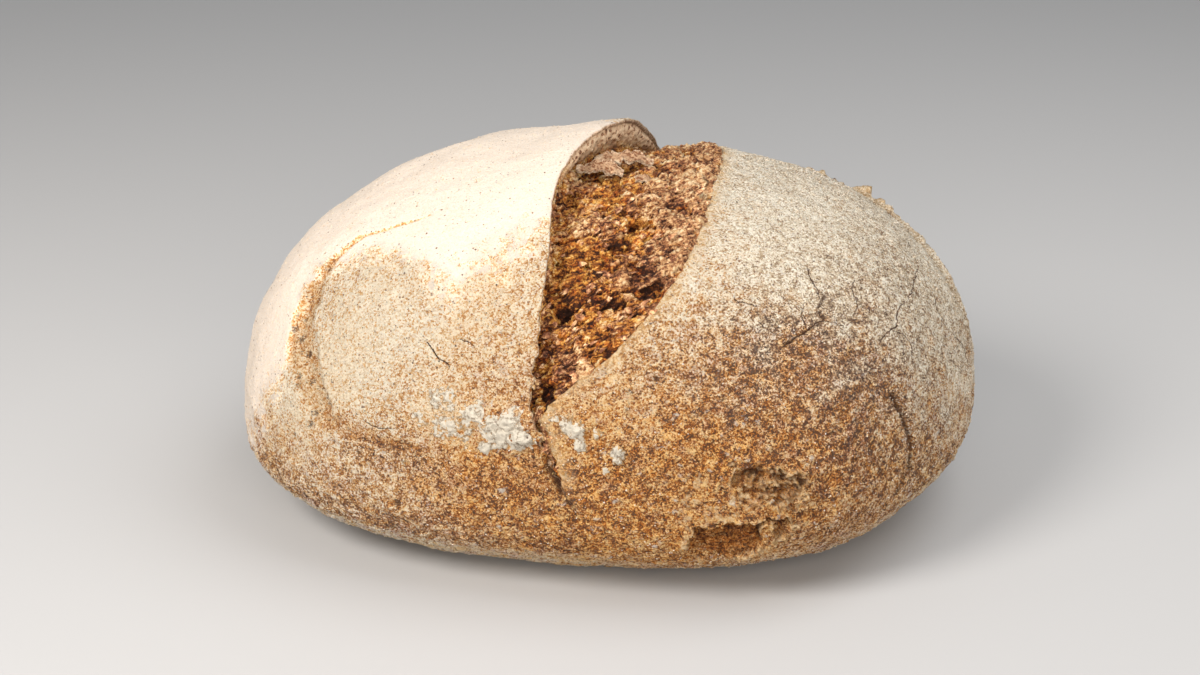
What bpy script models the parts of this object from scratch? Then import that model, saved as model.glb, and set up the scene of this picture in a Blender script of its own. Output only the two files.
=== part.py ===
"""A free-form spelt loaf: an oval, floured hearth loaf that burst open along its main slash.

The dough body is a closed skin wrapped round the X axis. Its crust carries one wide burst over the
crown, with a thin raised ear on the left and torn, pitted crumb rising to the right. Two shallower
curved slashes, a torn patch low on the front, cracks and dried flour lumps are relief in the solid.

Frame: metres, +Z up, origin at the middle of the footprint on the table, +X along the loaf,
-Y towards the side with the torn patch. A place on the skin is (x, turn): its distance along the
loaf in millimetres, and its turn round the X axis in degrees, 0 below, 90 front, 180 crown, 270 back.
"""

import bpy
import numpy as np
from mathutils import Vector, noise

MM = 0.001

# Driving dimensions of the dough body, in millimetres
LENGTH = 239.0
DEPTH = 176.0
WAIST_HEIGHT = 31.5
CROWN_RISE = 81.4
BELLY_DROP = 1.25
FOOT_ROUNDING = 3.0

# How square the body is: 2 is an ellipse, and more is fuller
PLAN_FULLNESS = 2.055
CROWN_FULLNESS = 2.18
CREST_FULLNESS = 2.35
BELLY_FULLNESS = 2.28

# Unevenness of a loaf shaped by hand, along the length from -1 to 1
CREST_LEAN = -0.09
SHOULDER_RISE, SHOULDER_AT, SHOULDER_SPREAD = 0.068, -0.22, 0.3
WAIST_TILT = 5.2
FRONT_BULGES = ((0.164, 0.59, 0.42), (-0.025, -0.29, 0.2))

# The burst: where its ear and its far edge run, as (turn, x)
EAR_LINE = ((0, 2), (60, -8), (92, -13), (101, -18.5), (112, -24), (126, -22), (143, -19.5), (158, -18),
            (168, -13.5), (177, -8), (186, -1.5), (194, 4), (203, 9), (216, 15), (232, 20), (270, 18),
            (360, 2))
BREAK_LINE = ((0, 12), (60, 1), (92, -9), (101, -15.5), (112, -17), (119, -5), (132, 13), (150, 27),
              (168, 33), (184, 37), (200, 37), (214, 35), (230, 31), (270, 29), (360, 12))
# How open it is, and how high the ear stands in millimetres, at each turn
BURST_OPENING = ((88, 0), (96, 0.08), (103, 0.42), (112, 0.8), (124, 0.85), (150, 1), (190, 1),
                 (212, 0.75), (228, 0.3), (240, 0))
EAR_RISE = ((84, 0), (112, 0.6), (140, 1.4), (165, 3.0), (184, 5.5), (196, 5.0), (210, 2.0), (232, 0))
EAR_SPREAD = 34.0
# Section from the ear to the far edge: (share of columns, share of width, pull under the ear, depth)
BURST_SECTION = ((0.00, 0.000, 1.6, 0.0),
                 (0.06, 0.012, 1.2, 1.9),
                 (0.16, 0.020, -3.4, 5.2),
                 (0.27, 0.070, -2.2, 10.5),
                 (0.40, 0.230, 0.0, 9.6),
                 (0.60, 0.480, 0.0, 6.4),
                 (0.84, 0.820, 0.0, 3.2),
                 (0.95, 0.975, 0.0, 1.9),
                 (1.00, 1.000, 0.0, 0.0))
# Near the foot of the burst its two edges wander: how far, how often, and below which turn
EDGE_WANDER, WANDER_TURNS, WANDER_BELOW, WANDER_FADE = 1.3, 4.5, 118.0, 12.0

# Torn crumb: strands across the burst, this long and this far apart, and pits between them
CRAG_DEPTH = 3.0
CRAG_LENGTH, CRAG_PITCH = 17.0, 6.5
STRAND_SHARE = 0.6
STRANDS_LEAN = 0.35
CRAGS_FROM, CRAGS_FADE_IN, CRAGS_FADE_OUT = 0.14, 0.14, 0.1
EAR_ROOT = 0.2
CRUST_LOST = 0.8
# The larger pits: (x, turn, half length, half height, depth)
PITS = ((-14, 131, 5.5, 5.5, 5.0), (-15.7, 143, 3.2, 3.4, 3.4), (-6, 143, 3.4, 4.6, 3.2),
        (9.5, 154, 3.4, 2.6, 3.0), (12, 136, 8.5, 4.0, 3.4), (1, 169, 8.0, 2.6, 3.6),
        (19, 141, 5.0, 2.6, 2.0), (-19.5, 114, 3.4, 4.5, 2.6), (4, 147, 5.0, 3.0, 1.8))
PIT_EDGE = 0.55

# The two shallower slashes, as (x, turn, half width)
LEFT_SLASH = ((-55, 157, 0.5), (-66, 157, 0.9), (-77, 157, 1.6), (-85, 153, 2.6), (-91, 145, 4.0),
              (-93.5, 136, 5.2), (-92, 126, 5.6), (-88, 116, 4.2), (-84, 107, 1.5))
LEFT_SLASH_DEPTH = 2.2
RIGHT_SLASH = ((56, 207, 1.0), (70, 205, 3.0), (84, 202, 4.2), (96, 195, 4.2), (104, 184, 3.4),
               (110, 170, 2.4), (114, 156, 1.6), (116, 142, 0.8))
RIGHT_SLASH_DEPTH = 2.4
SLASH_STEEP_EDGE, SLASH_SLOPED_EDGE, SLASH_WANDER, SLASH_WANDER_SIZE = 0.35, 0.9, 0.35, 5.0
DEEP_SLASH = 4.0
RIM_HEIGHT, RIM_WIDTH, RIM_RAGGED, RIM_RAGGED_SIZE = 1.5, 2.6, 0.6, 4.0

# Hollows of the torn patch low on the front: (x, turn, half length, half height, depth)
HOLLOWS = ((43.0, 97, 9.5, 6.0, 2.8), (36.5, 78, 13.0, 7.0, 3.2), (50.5, 80, 4.5, 5.5, 2.6))
HOLLOW_EDGE, HOLLOW_RAGGED, HOLLOW_RAGGED_SIZE = 0.22, 0.28, 7.0
LEDGE_PITCH, LEDGE_HEIGHT, LEDGE_WAVE, LEDGE_WAVE_SIZE, LEDGE_FACE = 5.2, 0.9, 3.0, 12.0, 2.5

# Cracks, as half width and depth in millimetres and (x, turn) points
CRACKS = (
    (0.8, 1.6, ((51.4, 127.7), (54.9, 129.7), (59.1, 131.7), (63.8, 134.3), (63.1, 137.3), (65.1, 140.7))),
    (1.5, 2.4, ((85.1, 115), (88.3, 108.7), (91.4, 100), (91.9, 91.3), (89.8, 85), (87.2, 79.7))),
    (1.3, 3.2, ((-17.9, 102.3), (-17.9, 99.3), (-15.6, 97), (-14.8, 95))),
    (0.8, 1.4, ((-14.8, 95), (-11.7, 92.7), (-10.2, 90.3))),
)

# Lumps of dried flour on the front: (x, turn, reach, height)
FLOUR_LUMPS = ((-25, 107.5, 6.5, 1.7), (-33, 108.5, 6.0, 1.5), (-41.5, 110.5, 6.0, 1.1),
               (-49, 112, 4.5, 0.8), (-29, 104, 4.0, 1.2), (-8, 109.5, 5.0, 1.0), (2.5, 105, 2.6, 0.9))
LUMP_EDGE, LUMP_RAGGED, LUMP_RAGGED_SIZE = 0.5, 0.7, 3.2

# Unevenness of the whole crust
SWELL_SIZE, SWELL_HEIGHT = 40.0, 1.1
PUCKER_SIZE, PUCKER_HEIGHT = 11.0, 0.45
SEED_SHIFT = (17.3, 5.1, 9.7)

# Mesh density: rings round the loaf, closer together about DENSE_TURN, and columns left of the burst,
# across it and right of it
RINGS = 330
DENSE_TURN, DENSE_SPREAD, DENSE_MORE = 135.0, 65.0, 1.2
LEFT_COLUMNS, BURST_COLUMNS, RIGHT_COLUMNS = 96, 44, 96
LINE_STEPS = 12
TRIANGLES = 11_400
CLEAR_OF_TABLE = 0.05

CRUST_COLOUR = (0.56, 0.36, 0.19, 1.0)


def curve_through(stations, at):
    """A smooth curve through (place, value) stations, read at many places."""
    places, values = np.array(stations, float).T
    slopes = np.gradient(values, places)
    i = np.clip(np.searchsorted(places, at) - 1, 0, len(places) - 2)
    gap = places[i + 1] - places[i]
    t = np.clip((at - places[i]) / gap, 0.0, 1.0)
    start = (1 + 2 * t) * (1 - t) ** 2 * values[i] + t * (1 - t) ** 2 * gap * slopes[i]
    end = t**2 * (3 - 2 * t) * values[i + 1] - t**2 * (1 - t) * gap * slopes[i + 1]
    return start + end


def ease(t):
    """0 to 1 with a soft start and end."""
    t = np.clip(t, 0.0, 1.0)
    return t * t * (3 - 2 * t)


def rough(points, size, seed, octaves=3):
    """Fractal noise from about -1 to 1 at each point, its largest lumps this many millimetres across."""
    shift = Vector(SEED_SHIFT) * seed
    values = [noise.fractal(Vector(p) + shift, 1.0, 2.0, octaves) for p in points / size]
    return np.array(values)


# ------------------------------------------------------------------ the dough body


def body_skin(x, turn):
    """Points of the unslashed body at x (mm) and turn (degrees), resting flat on the table."""
    along = np.clip(x / (LENGTH / 2), -1.0, 1.0)
    angle = np.radians(turn)
    out, up = -np.sin(angle), -np.cos(angle)
    fullness = np.where(up > 0, CROWN_FULLNESS, BELLY_FULLNESS)
    reach = (np.abs(out) ** fullness + np.abs(up) ** fullness) ** (-1 / fullness)
    out, up = out * reach, up * reach

    plan = (1 - np.abs(along) ** PLAN_FULLNESS) ** (1 / PLAN_FULLNESS)
    crest = (1 - np.abs(along) ** CREST_FULLNESS) ** (1 / CREST_FULLNESS)
    bulge = 1.0
    for amount, at, spread in FRONT_BULGES:
        bulge = bulge + amount * np.exp(-(((along - at) / spread) ** 2))
    y = DEPTH / 2 * plan * out * np.where(out < 0, bulge, 1.0)

    waist = WAIST_HEIGHT + WAIST_TILT * along
    shoulder = SHOULDER_RISE * np.exp(-(((along - SHOULDER_AT) / SHOULDER_SPREAD) ** 2))
    crown = CROWN_RISE * (1 + CREST_LEAN * along + shoulder)
    z = waist + np.where(up > 0, crest * crown * up, plan * BELLY_DROP * waist * up)
    return np.stack([x, y, rest_on_table(z)], -1)


def rest_on_table(z):
    """Heights with what lies below the table pressed flat, and the foot's edge rounded."""
    edge = (z + FOOT_ROUNDING) ** 2 / (4 * FOOT_ROUNDING)
    return np.where(z > FOOT_ROUNDING, z, np.where(z < -FOOT_ROUNDING, 0.0, edge))


def skin_normals(along, turn):
    """Outward unit normals at (place from -1 to 1, turn). Place is spaced as a sine near the ends."""
    step, turn_step = 1e-4, 0.05
    place_ends = np.clip(along + step, -1, 1), np.clip(along - step, -1, 1)
    across = body_skin(x_of(place_ends[0]), turn) - body_skin(x_of(place_ends[1]), turn)
    around = body_skin(x_of(along), turn + turn_step) - body_skin(x_of(along), turn - turn_step)
    normals = np.cross(across, around)
    length = np.linalg.norm(normals, axis=-1, keepdims=True)
    return normals / np.maximum(length, 1e-9)


def x_of(place):
    return LENGTH / 2 * np.sin(place * np.pi / 2)


def place_of(x):
    return np.arcsin(np.clip(x / (LENGTH / 2), -1, 1)) * 2 / np.pi


def skin_points(places):
    """Points and normals of (x, turn) places on the body."""
    x, turn = np.array(places, float).T
    return body_skin(x, turn), skin_normals(place_of(x), turn)


# ------------------------------------------------------------------ the burst


def burst_columns():
    """For each column across the burst: its share of the width, its pull under the ear, its depth."""
    share = np.linspace(0, 1, BURST_COLUMNS + 1)
    column, width, pull, depth = np.array(BURST_SECTION).T
    return tuple(np.interp(share, column, values) for values in (width, pull, depth))


def burst_edges(turn):
    """x of the ear and of the far edge at each turn. Both wander low on the front, where they close."""
    low = ease((WANDER_BELOW - turn) / WANDER_FADE)
    along = np.stack([turn / WANDER_TURNS, np.zeros_like(turn), np.zeros_like(turn)], -1)
    wander = EDGE_WANDER * low * rough(along, 1.0, seed=21, octaves=2)
    return curve_through(EAR_LINE, turn) + wander, curve_through(BREAK_LINE, turn) + wander


def column_layout(turn):
    """Grid of x over (ring, column), and of the burst's depth, with the ear's rise taken off it."""
    ear, far_edge = burst_edges(turn)
    opening = np.clip(curve_through(BURST_OPENING, turn), 0, 1)
    rise = np.clip(curve_through(EAR_RISE, turn), 0, None)

    width, pull, depth = burst_columns()
    left = np.linspace(0, 1, LEFT_COLUMNS + 1)[1:-1]
    right = np.linspace(0, 1, RIGHT_COLUMNS + 1)[1:-1]
    left_x = x_of(-1 + left[None, :] * (place_of(ear)[:, None] + 1))
    right_x = x_of(place_of(far_edge)[:, None] + right[None, :] * (1 - place_of(far_edge)[:, None]))
    burst_x = ear[:, None] + (far_edge - ear)[:, None] * width + opening[:, None] * pull
    x = np.concatenate([left_x, burst_x, right_x], axis=1)

    lifted = ease(1 - (ear[:, None] - left_x) / EAR_SPREAD) ** 2 * rise[:, None]
    under_ear = rise[:, None] * ease(1 - np.linspace(0, 1, BURST_COLUMNS + 1) / EAR_ROOT)
    burst_depth = opening[:, None] * depth - under_ear
    sunk = np.concatenate([-lifted, burst_depth, np.zeros_like(right_x)], axis=1)
    return x, sunk, opening


def torn_relief(skin, opening):
    """Torn crumb over the burst's grid: long strands across it, with pits between them."""
    points = skin.reshape(-1, 3)
    leaning = points - STRANDS_LEAN * points[:, :1] * np.array([0.0, 0.0, 1.0])
    strands = rough(leaning / np.array([CRAG_LENGTH, CRAG_PITCH, CRAG_PITCH]), 1.0, seed=3)
    lumps = rough(points, CRAG_PITCH, seed=4, octaves=2)
    high = CRAG_DEPTH * (STRAND_SHARE * (1 - 2 * np.abs(strands)) + (1 - STRAND_SHARE) * lumps)
    for pit in PITS:
        high += pit_relief(points, *pit)
    share = np.linspace(0, 1, BURST_COLUMNS + 1)
    inside = ease((share - CRAGS_FROM) / CRAGS_FADE_IN) * ease((1 - share) / CRAGS_FADE_OUT)
    return high.reshape(skin.shape[:2]) * inside * opening[:, None]


def seen_flat(points, x, turn):
    """Each point's offsets from a place on the skin: along the loaf, up it, and out of it."""
    centre, normal = skin_points([(x, turn)])
    offset = points - centre[0]
    up = np.cross(normal[0], (1.0, 0.0, 0.0))
    up = up if up[2] > 0 else -up
    return offset[:, 0], offset @ up, offset @ normal[0]


def pit_relief(points, x, turn, half_length, half_height, depth):
    """A pit with a ragged rim."""
    along, up, out = seen_flat(points, x, turn)
    shape = np.hypot(along / half_length, up / half_height)
    shape = shape + HOLLOW_RAGGED * rough(points, half_height, seed=16)
    return -depth * ease((1 - shape) / PIT_EDGE) * (np.abs(out) < half_length + half_height)


# ------------------------------------------------------------------ relief of the crust


def nearest_on_line(points, line):
    """Distance of each point to a line through (x, turn) places, its share along it, and its side."""
    places = np.array([p[:2] for p in line], float)
    knots = np.arange(len(places))
    fine = np.linspace(0, len(places) - 1, LINE_STEPS * len(places))
    course = np.stack([curve_through(np.stack([knots, places[:, i]], -1), fine) for i in (0, 1)], -1)
    centre, normal = skin_points(course)
    heading = np.gradient(centre, axis=0)
    leftward = np.cross(normal, heading)
    near = np.full(len(points), np.inf)
    best = np.zeros(len(points), int)
    for i, c in enumerate(centre):
        away = np.linalg.norm(points - c, axis=1)
        best = np.where(away < near, i, best)
        near = np.minimum(away, near)
    side = np.sign(np.einsum("ij,ij->i", points - centre[best], leftward[best]))
    return near, fine[best], side


def slash_relief(points, line, depth):
    """A shallow slash: steep on one side, sloping out on the other, with a ragged course."""
    away, knot, side = nearest_on_line(points, line)
    half_width = curve_through([(i, p[2]) for i, p in enumerate(line)], knot)
    across = side * away / half_width + SLASH_WANDER * rough(points, SLASH_WANDER_SIZE, seed=7)
    steep, sloped = ease((1 + across) / SLASH_STEEP_EDGE), ease((1 - across) / SLASH_SLOPED_EDGE)
    return -depth * np.minimum(half_width / DEEP_SLASH, 1) * steep * sloped


def rim_relief(points, line):
    """The ragged crust that stands up along the inner edge of the right-hand slash."""
    away, knot, side = nearest_on_line(points, line)
    half_width = curve_through([(i, p[2]) for i, p in enumerate(line)], knot)
    beside = np.exp(-(((side * away - half_width) / RIM_WIDTH) ** 2))
    ragged = np.clip(1 - RIM_RAGGED * (0.5 - rough(points, RIM_RAGGED_SIZE, seed=9)), 0, None)
    return RIM_HEIGHT * beside * ragged * np.minimum(half_width / DEEP_SLASH, 1)


def hollow_relief(points, x, turn, half_length, half_height, depth):
    """A ragged hollow with ledges of torn crust in it."""
    along, up, out = seen_flat(points, x, turn)
    shape = np.hypot(along / half_length, up / half_height)
    shape = shape + HOLLOW_RAGGED * rough(points, HOLLOW_RAGGED_SIZE, seed=11)
    inside = ease((1 - shape) / HOLLOW_EDGE) * (np.abs(out) < half_length)
    layer = (up + LEDGE_WAVE * rough(points, LEDGE_WAVE_SIZE, seed=12)) / LEDGE_PITCH
    return inside * (-depth + LEDGE_HEIGHT * ease((layer % 1.0) * LEDGE_FACE))


def crack_relief(points, half_width, depth, line):
    away, _, _ = nearest_on_line(points, line)
    return -depth * ease(1 - away / half_width)


def lump_relief(points, x, turn, reach, height):
    centre, _ = skin_points([(x, turn)])
    away = np.linalg.norm(points - centre[0], axis=1) / reach
    ragged = np.clip(1 + LUMP_RAGGED * rough(points, LUMP_RAGGED_SIZE, seed=14), 0, None)
    return height * ease((1 - away) / LUMP_EDGE) * ragged


def crust_relief(points):
    """How far the crust stands out from the smooth body at each point, in millimetres."""
    high = SWELL_HEIGHT * rough(points, SWELL_SIZE, seed=1, octaves=2)
    high += PUCKER_HEIGHT * rough(points, PUCKER_SIZE, seed=2)
    high += slash_relief(points, LEFT_SLASH, LEFT_SLASH_DEPTH)
    high += slash_relief(points, RIGHT_SLASH, RIGHT_SLASH_DEPTH) + rim_relief(points, RIGHT_SLASH)
    for hollow in HOLLOWS:
        high += hollow_relief(points, *hollow)
    for half_width, depth, line in CRACKS:
        high += crack_relief(points, half_width, depth, line)
    for lump in FLOUR_LUMPS:
        high += lump_relief(points, *lump)
    return high


# ------------------------------------------------------------------ the solid


def ring_turns():
    """Turns of the rings, closer together over the front and the crown than below and behind."""
    turn = np.linspace(0, 360, 721)
    density = 1 + DENSE_MORE * np.exp(-(((turn - DENSE_TURN) / DENSE_SPREAD) ** 2))
    share = np.concatenate([[0], np.cumsum((density[1:] + density[:-1]) / 2)])
    return np.interp(np.arange(RINGS) / RINGS * share[-1], share, turn)


def loaf_points():
    """Grid of points over (ring, column), and the two end points."""
    turn = ring_turns()
    x, sunk, opening = column_layout(turn)
    turns = np.broadcast_to(turn[:, None], x.shape)
    skin = body_skin(x, turns)
    normal = skin_normals(place_of(x), turns)
    flat = skin.reshape(-1, 3)
    relief = crust_relief(flat).reshape(x.shape)
    burst = slice(LEFT_COLUMNS - 1, LEFT_COLUMNS + BURST_COLUMNS)
    relief[:, burst] *= 1 - CRUST_LOST * opening[:, None]
    relief[:, burst] += torn_relief(skin[:, burst], opening)

    on_table = skin[..., 2] < CLEAR_OF_TABLE
    points = skin + normal * ((relief - sunk) * (1 - on_table * 1.0))[..., None]
    points[..., 2] = np.where(on_table, 0.0, np.maximum(points[..., 2], CLEAR_OF_TABLE))
    ends = body_skin(np.array([-LENGTH / 2, LENGTH / 2]), np.array([180.0, 180.0]))
    return points, ends


def quad_faces(rings, columns):
    ring, column = np.meshgrid(np.arange(rings), np.arange(columns - 1), indexing="ij")
    following = (ring + 1) % rings
    corners = (ring, column), (ring, column + 1), (following, column + 1), (following, column)
    return np.stack([r * columns + c for r, c in corners], -1).reshape(-1, 4)


def make_loaf():
    points, ends = loaf_points()
    rings, columns = points.shape[:2]
    low, high = points.reshape(-1, 3).min(0), points.reshape(-1, 3).max(0)
    shift = np.array([(low[0] + high[0]) / 2, (low[1] + high[1]) / 2, 0.0])
    vertices = np.concatenate([points.reshape(-1, 3), ends]) - shift
    left_end, right_end = rings * columns, rings * columns + 1
    faces = [tuple(int(i) for i in quad) for quad in quad_faces(rings, columns)]
    for ring in range(rings):
        here, following = ring * columns, (ring + 1) % rings * columns
        faces.append((left_end, here, following))
        faces.append((right_end, following + columns - 1, here + columns - 1))
    mesh = bpy.data.meshes.new("loaf")
    mesh.from_pydata((vertices * MM).tolist(), [], faces)
    mesh.validate()
    loaf = bpy.data.objects.new("loaf", mesh)
    bpy.context.scene.collection.objects.link(loaf)
    return loaf


def thin_out(loaf):
    """Keeps triangles where the form is busy, and leaves the foot exactly flat."""
    reduce = loaf.modifiers.new("fewer faces", "DECIMATE")
    faces = sum(len(p.vertices) - 2 for p in loaf.data.polygons)
    reduce.ratio = TRIANGLES / faces
    reduce.use_collapse_triangulate = True
    graph = bpy.context.evaluated_depsgraph_get()
    reduced = bpy.data.meshes.new_from_object(loaf.evaluated_get(graph))
    loaf.modifiers.clear()
    loaf.data = reduced
    reduced.name = "loaf"
    for vertex in reduced.vertices:
        if vertex.co.z < CLEAR_OF_TABLE * MM:
            vertex.co.z = 0.0


def crust_material():
    material = bpy.data.materials.new("floured crust")
    material.use_nodes = True
    shader = material.node_tree.nodes["Principled BSDF"]
    shader.inputs["Base Color"].default_value = CRUST_COLOUR
    shader.inputs["Roughness"].default_value = 0.9
    shader.inputs["Metallic"].default_value = 0.0
    return material


def main():
    for old in list(bpy.data.objects):
        bpy.data.objects.remove(old)
    loaf = make_loaf()
    thin_out(loaf)
    loaf.data.materials.append(crust_material())


main()
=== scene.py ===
"""Looks of a free-form spelt loaf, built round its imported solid.

The dough body, its burst and its slashes are worked out here from the same driving sizes as the
solid, at a finer pitch and with what the solid leaves out: sandy flour, pebbled crust, gas cells and
torn skins of crumb, lumps of dried flour, loose grains and flecks of bran.

A place on the skin is (x, turn): its distance along the loaf in millimetres, and its turn round the
X axis in degrees, 0 below, 90 front, 180 crown, 270 back. Shapes are worked out in millimetres and
become metres where a mesh is made.
"""

import collections
import functools
import math

import bpy
import numpy as np
from bpy.props import FloatProperty, FloatVectorProperty, PointerProperty
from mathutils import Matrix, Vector, noise


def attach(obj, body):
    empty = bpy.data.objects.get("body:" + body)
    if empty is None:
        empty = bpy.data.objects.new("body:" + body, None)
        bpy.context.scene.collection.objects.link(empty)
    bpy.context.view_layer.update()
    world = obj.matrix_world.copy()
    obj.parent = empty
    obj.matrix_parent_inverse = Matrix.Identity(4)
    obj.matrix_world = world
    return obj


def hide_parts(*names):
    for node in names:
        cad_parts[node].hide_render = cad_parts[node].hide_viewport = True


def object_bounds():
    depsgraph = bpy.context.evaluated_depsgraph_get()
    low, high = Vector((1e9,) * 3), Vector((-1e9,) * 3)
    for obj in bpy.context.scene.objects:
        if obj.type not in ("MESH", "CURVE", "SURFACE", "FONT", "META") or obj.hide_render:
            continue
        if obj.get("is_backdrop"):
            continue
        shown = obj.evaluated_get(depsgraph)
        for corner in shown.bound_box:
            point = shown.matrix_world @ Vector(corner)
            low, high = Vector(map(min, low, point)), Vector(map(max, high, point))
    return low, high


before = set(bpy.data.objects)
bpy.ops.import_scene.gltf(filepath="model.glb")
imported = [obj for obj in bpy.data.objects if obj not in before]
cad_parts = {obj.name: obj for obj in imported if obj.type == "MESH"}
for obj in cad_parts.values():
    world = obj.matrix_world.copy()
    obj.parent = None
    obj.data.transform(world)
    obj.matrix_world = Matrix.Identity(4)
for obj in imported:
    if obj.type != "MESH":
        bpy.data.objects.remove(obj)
CAD_LOW, CAD_HIGH = (np.array(corner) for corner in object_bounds())

bl_info = {
    "name": "Spelt loaf",
    "version": (1, 0, 0),
    "blender": (4, 5, 0),
    "location": "View3D > Sidebar > Loaf",
    "description": "Bakes a free-form spelt loaf with a burst, floured crust",
    "category": "Add Mesh",
}

MM = 0.001
X_AXIS, Z_AXIS = np.eye(3)[[0, 2]]
NODE = "loaf"

# How square the dough body is: 2 is an ellipse, and more is fuller
PLAN_FULLNESS = 2.055
CROWN_FULLNESS = 2.18
CREST_FULLNESS = 2.35
BELLY_FULLNESS = 2.28
BELLY_DROP = 1.25
FOOT_ROUNDING = 3.0

# Unevenness of a loaf shaped by hand, along the length from -1 to 1
CREST_LEAN = -0.09
SHOULDER_RISE, SHOULDER_AT, SHOULDER_SPREAD = 0.068, -0.22, 0.3
WAIST_TILT = 5.2
FRONT_BULGES = ((0.164, 0.59, 0.42), (-0.025, -0.29, 0.2))

# The burst: where its ear and its far edge run, as (turn, x)
EAR_LINE = ((0, 2), (60, -8), (92, -13), (101, -18.5), (112, -24), (126, -22), (143, -19.5), (158, -18),
            (168, -13.5), (177, -8), (186, -1.5), (194, 4), (203, 9), (216, 15), (232, 20), (270, 18),
            (360, 2))
BREAK_LINE = ((0, 12), (60, 1), (92, -9), (101, -15.5), (112, -17), (119, -5), (132, 13), (150, 27),
              (168, 33), (184, 37), (200, 37), (214, 35), (230, 31), (270, 29), (360, 12))
# How open it is, and how high the ear stands in millimetres, at each turn
PARTED_SOON = 5
BURST_OPENING = ((88, 0), (96, 0.08), (103, 0.42), (112, 0.8), (124, 0.85), (150, 1), (190, 1),
                 (212, 0.75), (228, 0.3), (240, 0))
EAR_RISE = ((84, 0), (112, 0.6), (140, 1.4), (165, 3.0), (184, 5.5), (196, 5.0), (210, 2.0), (232, 0))
EAR_SPREAD = 34.0
EAR_OVERHANG = 1.6
# Section of the torn crumb: (share of columns, share of width, pull under the ear, depth)
BURST_SECTION = ((0.00, 0.000, -1.0, 0.9), (0.03, 0.004, 0.8, 1.3), (0.07, 0.012, 0.9, 2.2),
                 (0.16, 0.020, -3.4, 5.2), (0.27, 0.070, -2.2, 10.5), (0.40, 0.230, 0.0, 9.6),
                 (0.60, 0.480, 0.0, 6.4), (0.84, 0.820, 0.0, 3.2), (0.95, 0.975, 0.0, 1.9),
                 (0.98, 1.010, 0.0, 1.3), (1.00, 1.050, 0.0, 2.0))
# Near the foot of the burst its two edges wander: how far, how often, and below which turn
EDGE_WANDER, WANDER_TURNS, WANDER_BELOW, WANDER_FADE = 1.3, 4.5, 118.0, 12.0
# The crust's cut edges, as (outwards over the burst, depth) from the edge's top corner
EAR_LIP = ((0.30, 0.12), (0.42, 0.45), (0.40, 0.90), (0.05, 1.30), (-1.30, 1.75), (-4.20, 2.80))
FAR_LIP = ((0.35, 0.10), (0.50, 0.45), (0.40, 0.95), (-0.10, 1.35), (-1.40, 1.90), (-3.60, 2.80))

# Torn crumb: strands across the burst, this long and this far apart, and pits between them
CRAG_LENGTH, CRAG_PITCH = 17.0, 6.5
STRAND_SHARE = 0.6
STRANDS_LEAN = 0.35
CRAGS_FROM, CRAGS_FADE_IN, CRAGS_FADE_OUT = 0.14, 0.14, 0.1
CRUST_LOST = 0.8
PITS = ((-14, 131, 5.5, 5.5, 5.0), (-15.7, 143, 3.2, 3.4, 3.4), (-6, 143, 3.4, 4.6, 3.2),
        (9.5, 154, 3.4, 2.6, 3.0), (12, 136, 8.5, 4.0, 3.4), (1, 169, 8.5, 3.0, 5.0),
        (19, 141, 5.0, 2.6, 2.0), (-18.5, 113, 4.4, 6.0, 4.2), (4, 147, 5.0, 3.0, 1.8))
PIT_EDGE, PIT_RING, DEEP_PIT = 0.55, 1.1, 3.0
# Parts of the crumb by (x, turn, reach, brighter, more burnt)
CRUMB_SPOTS = ((9, 153, 6.5, 0.22, -2.2), (16, 156, 7.0, -0.05, 1.6), (2, 150, 4.5, -0.14, 1.2),
               (15, 140, 9.0, -0.06, 1.8), (12, 131, 8.0, 0.10, -1.0), (28, 168, 9.0, 0.20, 2.6),
               (22, 150, 6.0, 0.08, 0.8), (-4, 161, 8.0, 0.10, -0.4), (-16, 122, 7.0, -0.12, 0.4),
               (-2, 125, 8.0, 0.06, -1.4), (-10, 143, 8.0, 0.0, -2.0), (6, 170, 7.0, 0.05, -0.6),
               (-6, 135, 7.0, -0.30, -1.8))
# Gas cells torn open in the crumb: (size, share of them that are open, depth)
GAS_CELLS = ((6.2, 0.42, 2.4), (3.1, 0.55, 1.5), (1.5, 0.6, 0.8), (0.85, 0.5, 0.4))
CELL_STRETCH = (1.5, 1.0, 0.85)
# Thin walls left standing between the torn cells, as (size, share, seed)
WEBS, WEB_STRETCH = ((3.4, 1.0, 65), (1.9, 0.7, 66)), (1.7, 1.0, 0.9)
WEB_THIN, WEB_HEIGHT, WEB_PALE = 0.13, 0.42, 0.26
CELL_WARP, CELL_WARP_SIZE = 1.1, 4.5

# The two shallower slashes, as (x, turn, half width)
LEFT_SLASH = ((-55, 157, 0.5), (-66, 157, 0.9), (-77, 157, 1.6), (-85, 153, 2.6), (-91, 145, 4.0),
              (-93.5, 136, 5.2), (-92, 126, 5.6), (-88, 116, 4.2), (-84, 107, 1.5))
LEFT_SLASH_DEPTH = 2.2
# Beside and below it a shallow golden band goes on round the foot of the floured dome
GOLD_BAND = ((-92, 148, 1.2), (-96.5, 140, 2.6), (-97.5, 131, 3.4), (-95.5, 123, 4.2), (-91.5, 115, 5.0),
             (-85, 109.5, 5.0), (-76, 105.8, 3.6), (-66, 103.8, 2.6), (-56, 103, 1.2))
GOLD_BAND_DEPTH, SLASH_GOLD = 1.0, 0.35
RIGHT_SLASH = ((56, 207, 1.0), (70, 205, 3.0), (84, 202, 4.2), (96, 195, 4.2), (104, 184, 3.4),
               (110, 170, 2.4), (114, 156, 1.6), (116, 142, 0.8))
RIGHT_SLASH_DEPTH = 2.4
SLASHES = (LEFT_SLASH, LEFT_SLASH_DEPTH), (RIGHT_SLASH, RIGHT_SLASH_DEPTH)
SLASH_STEEP_EDGE, SLASH_SLOPED_EDGE, SLASH_WANDER, SLASH_WANDER_SIZE = 0.35, 0.9, 0.35, 5.0
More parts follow.
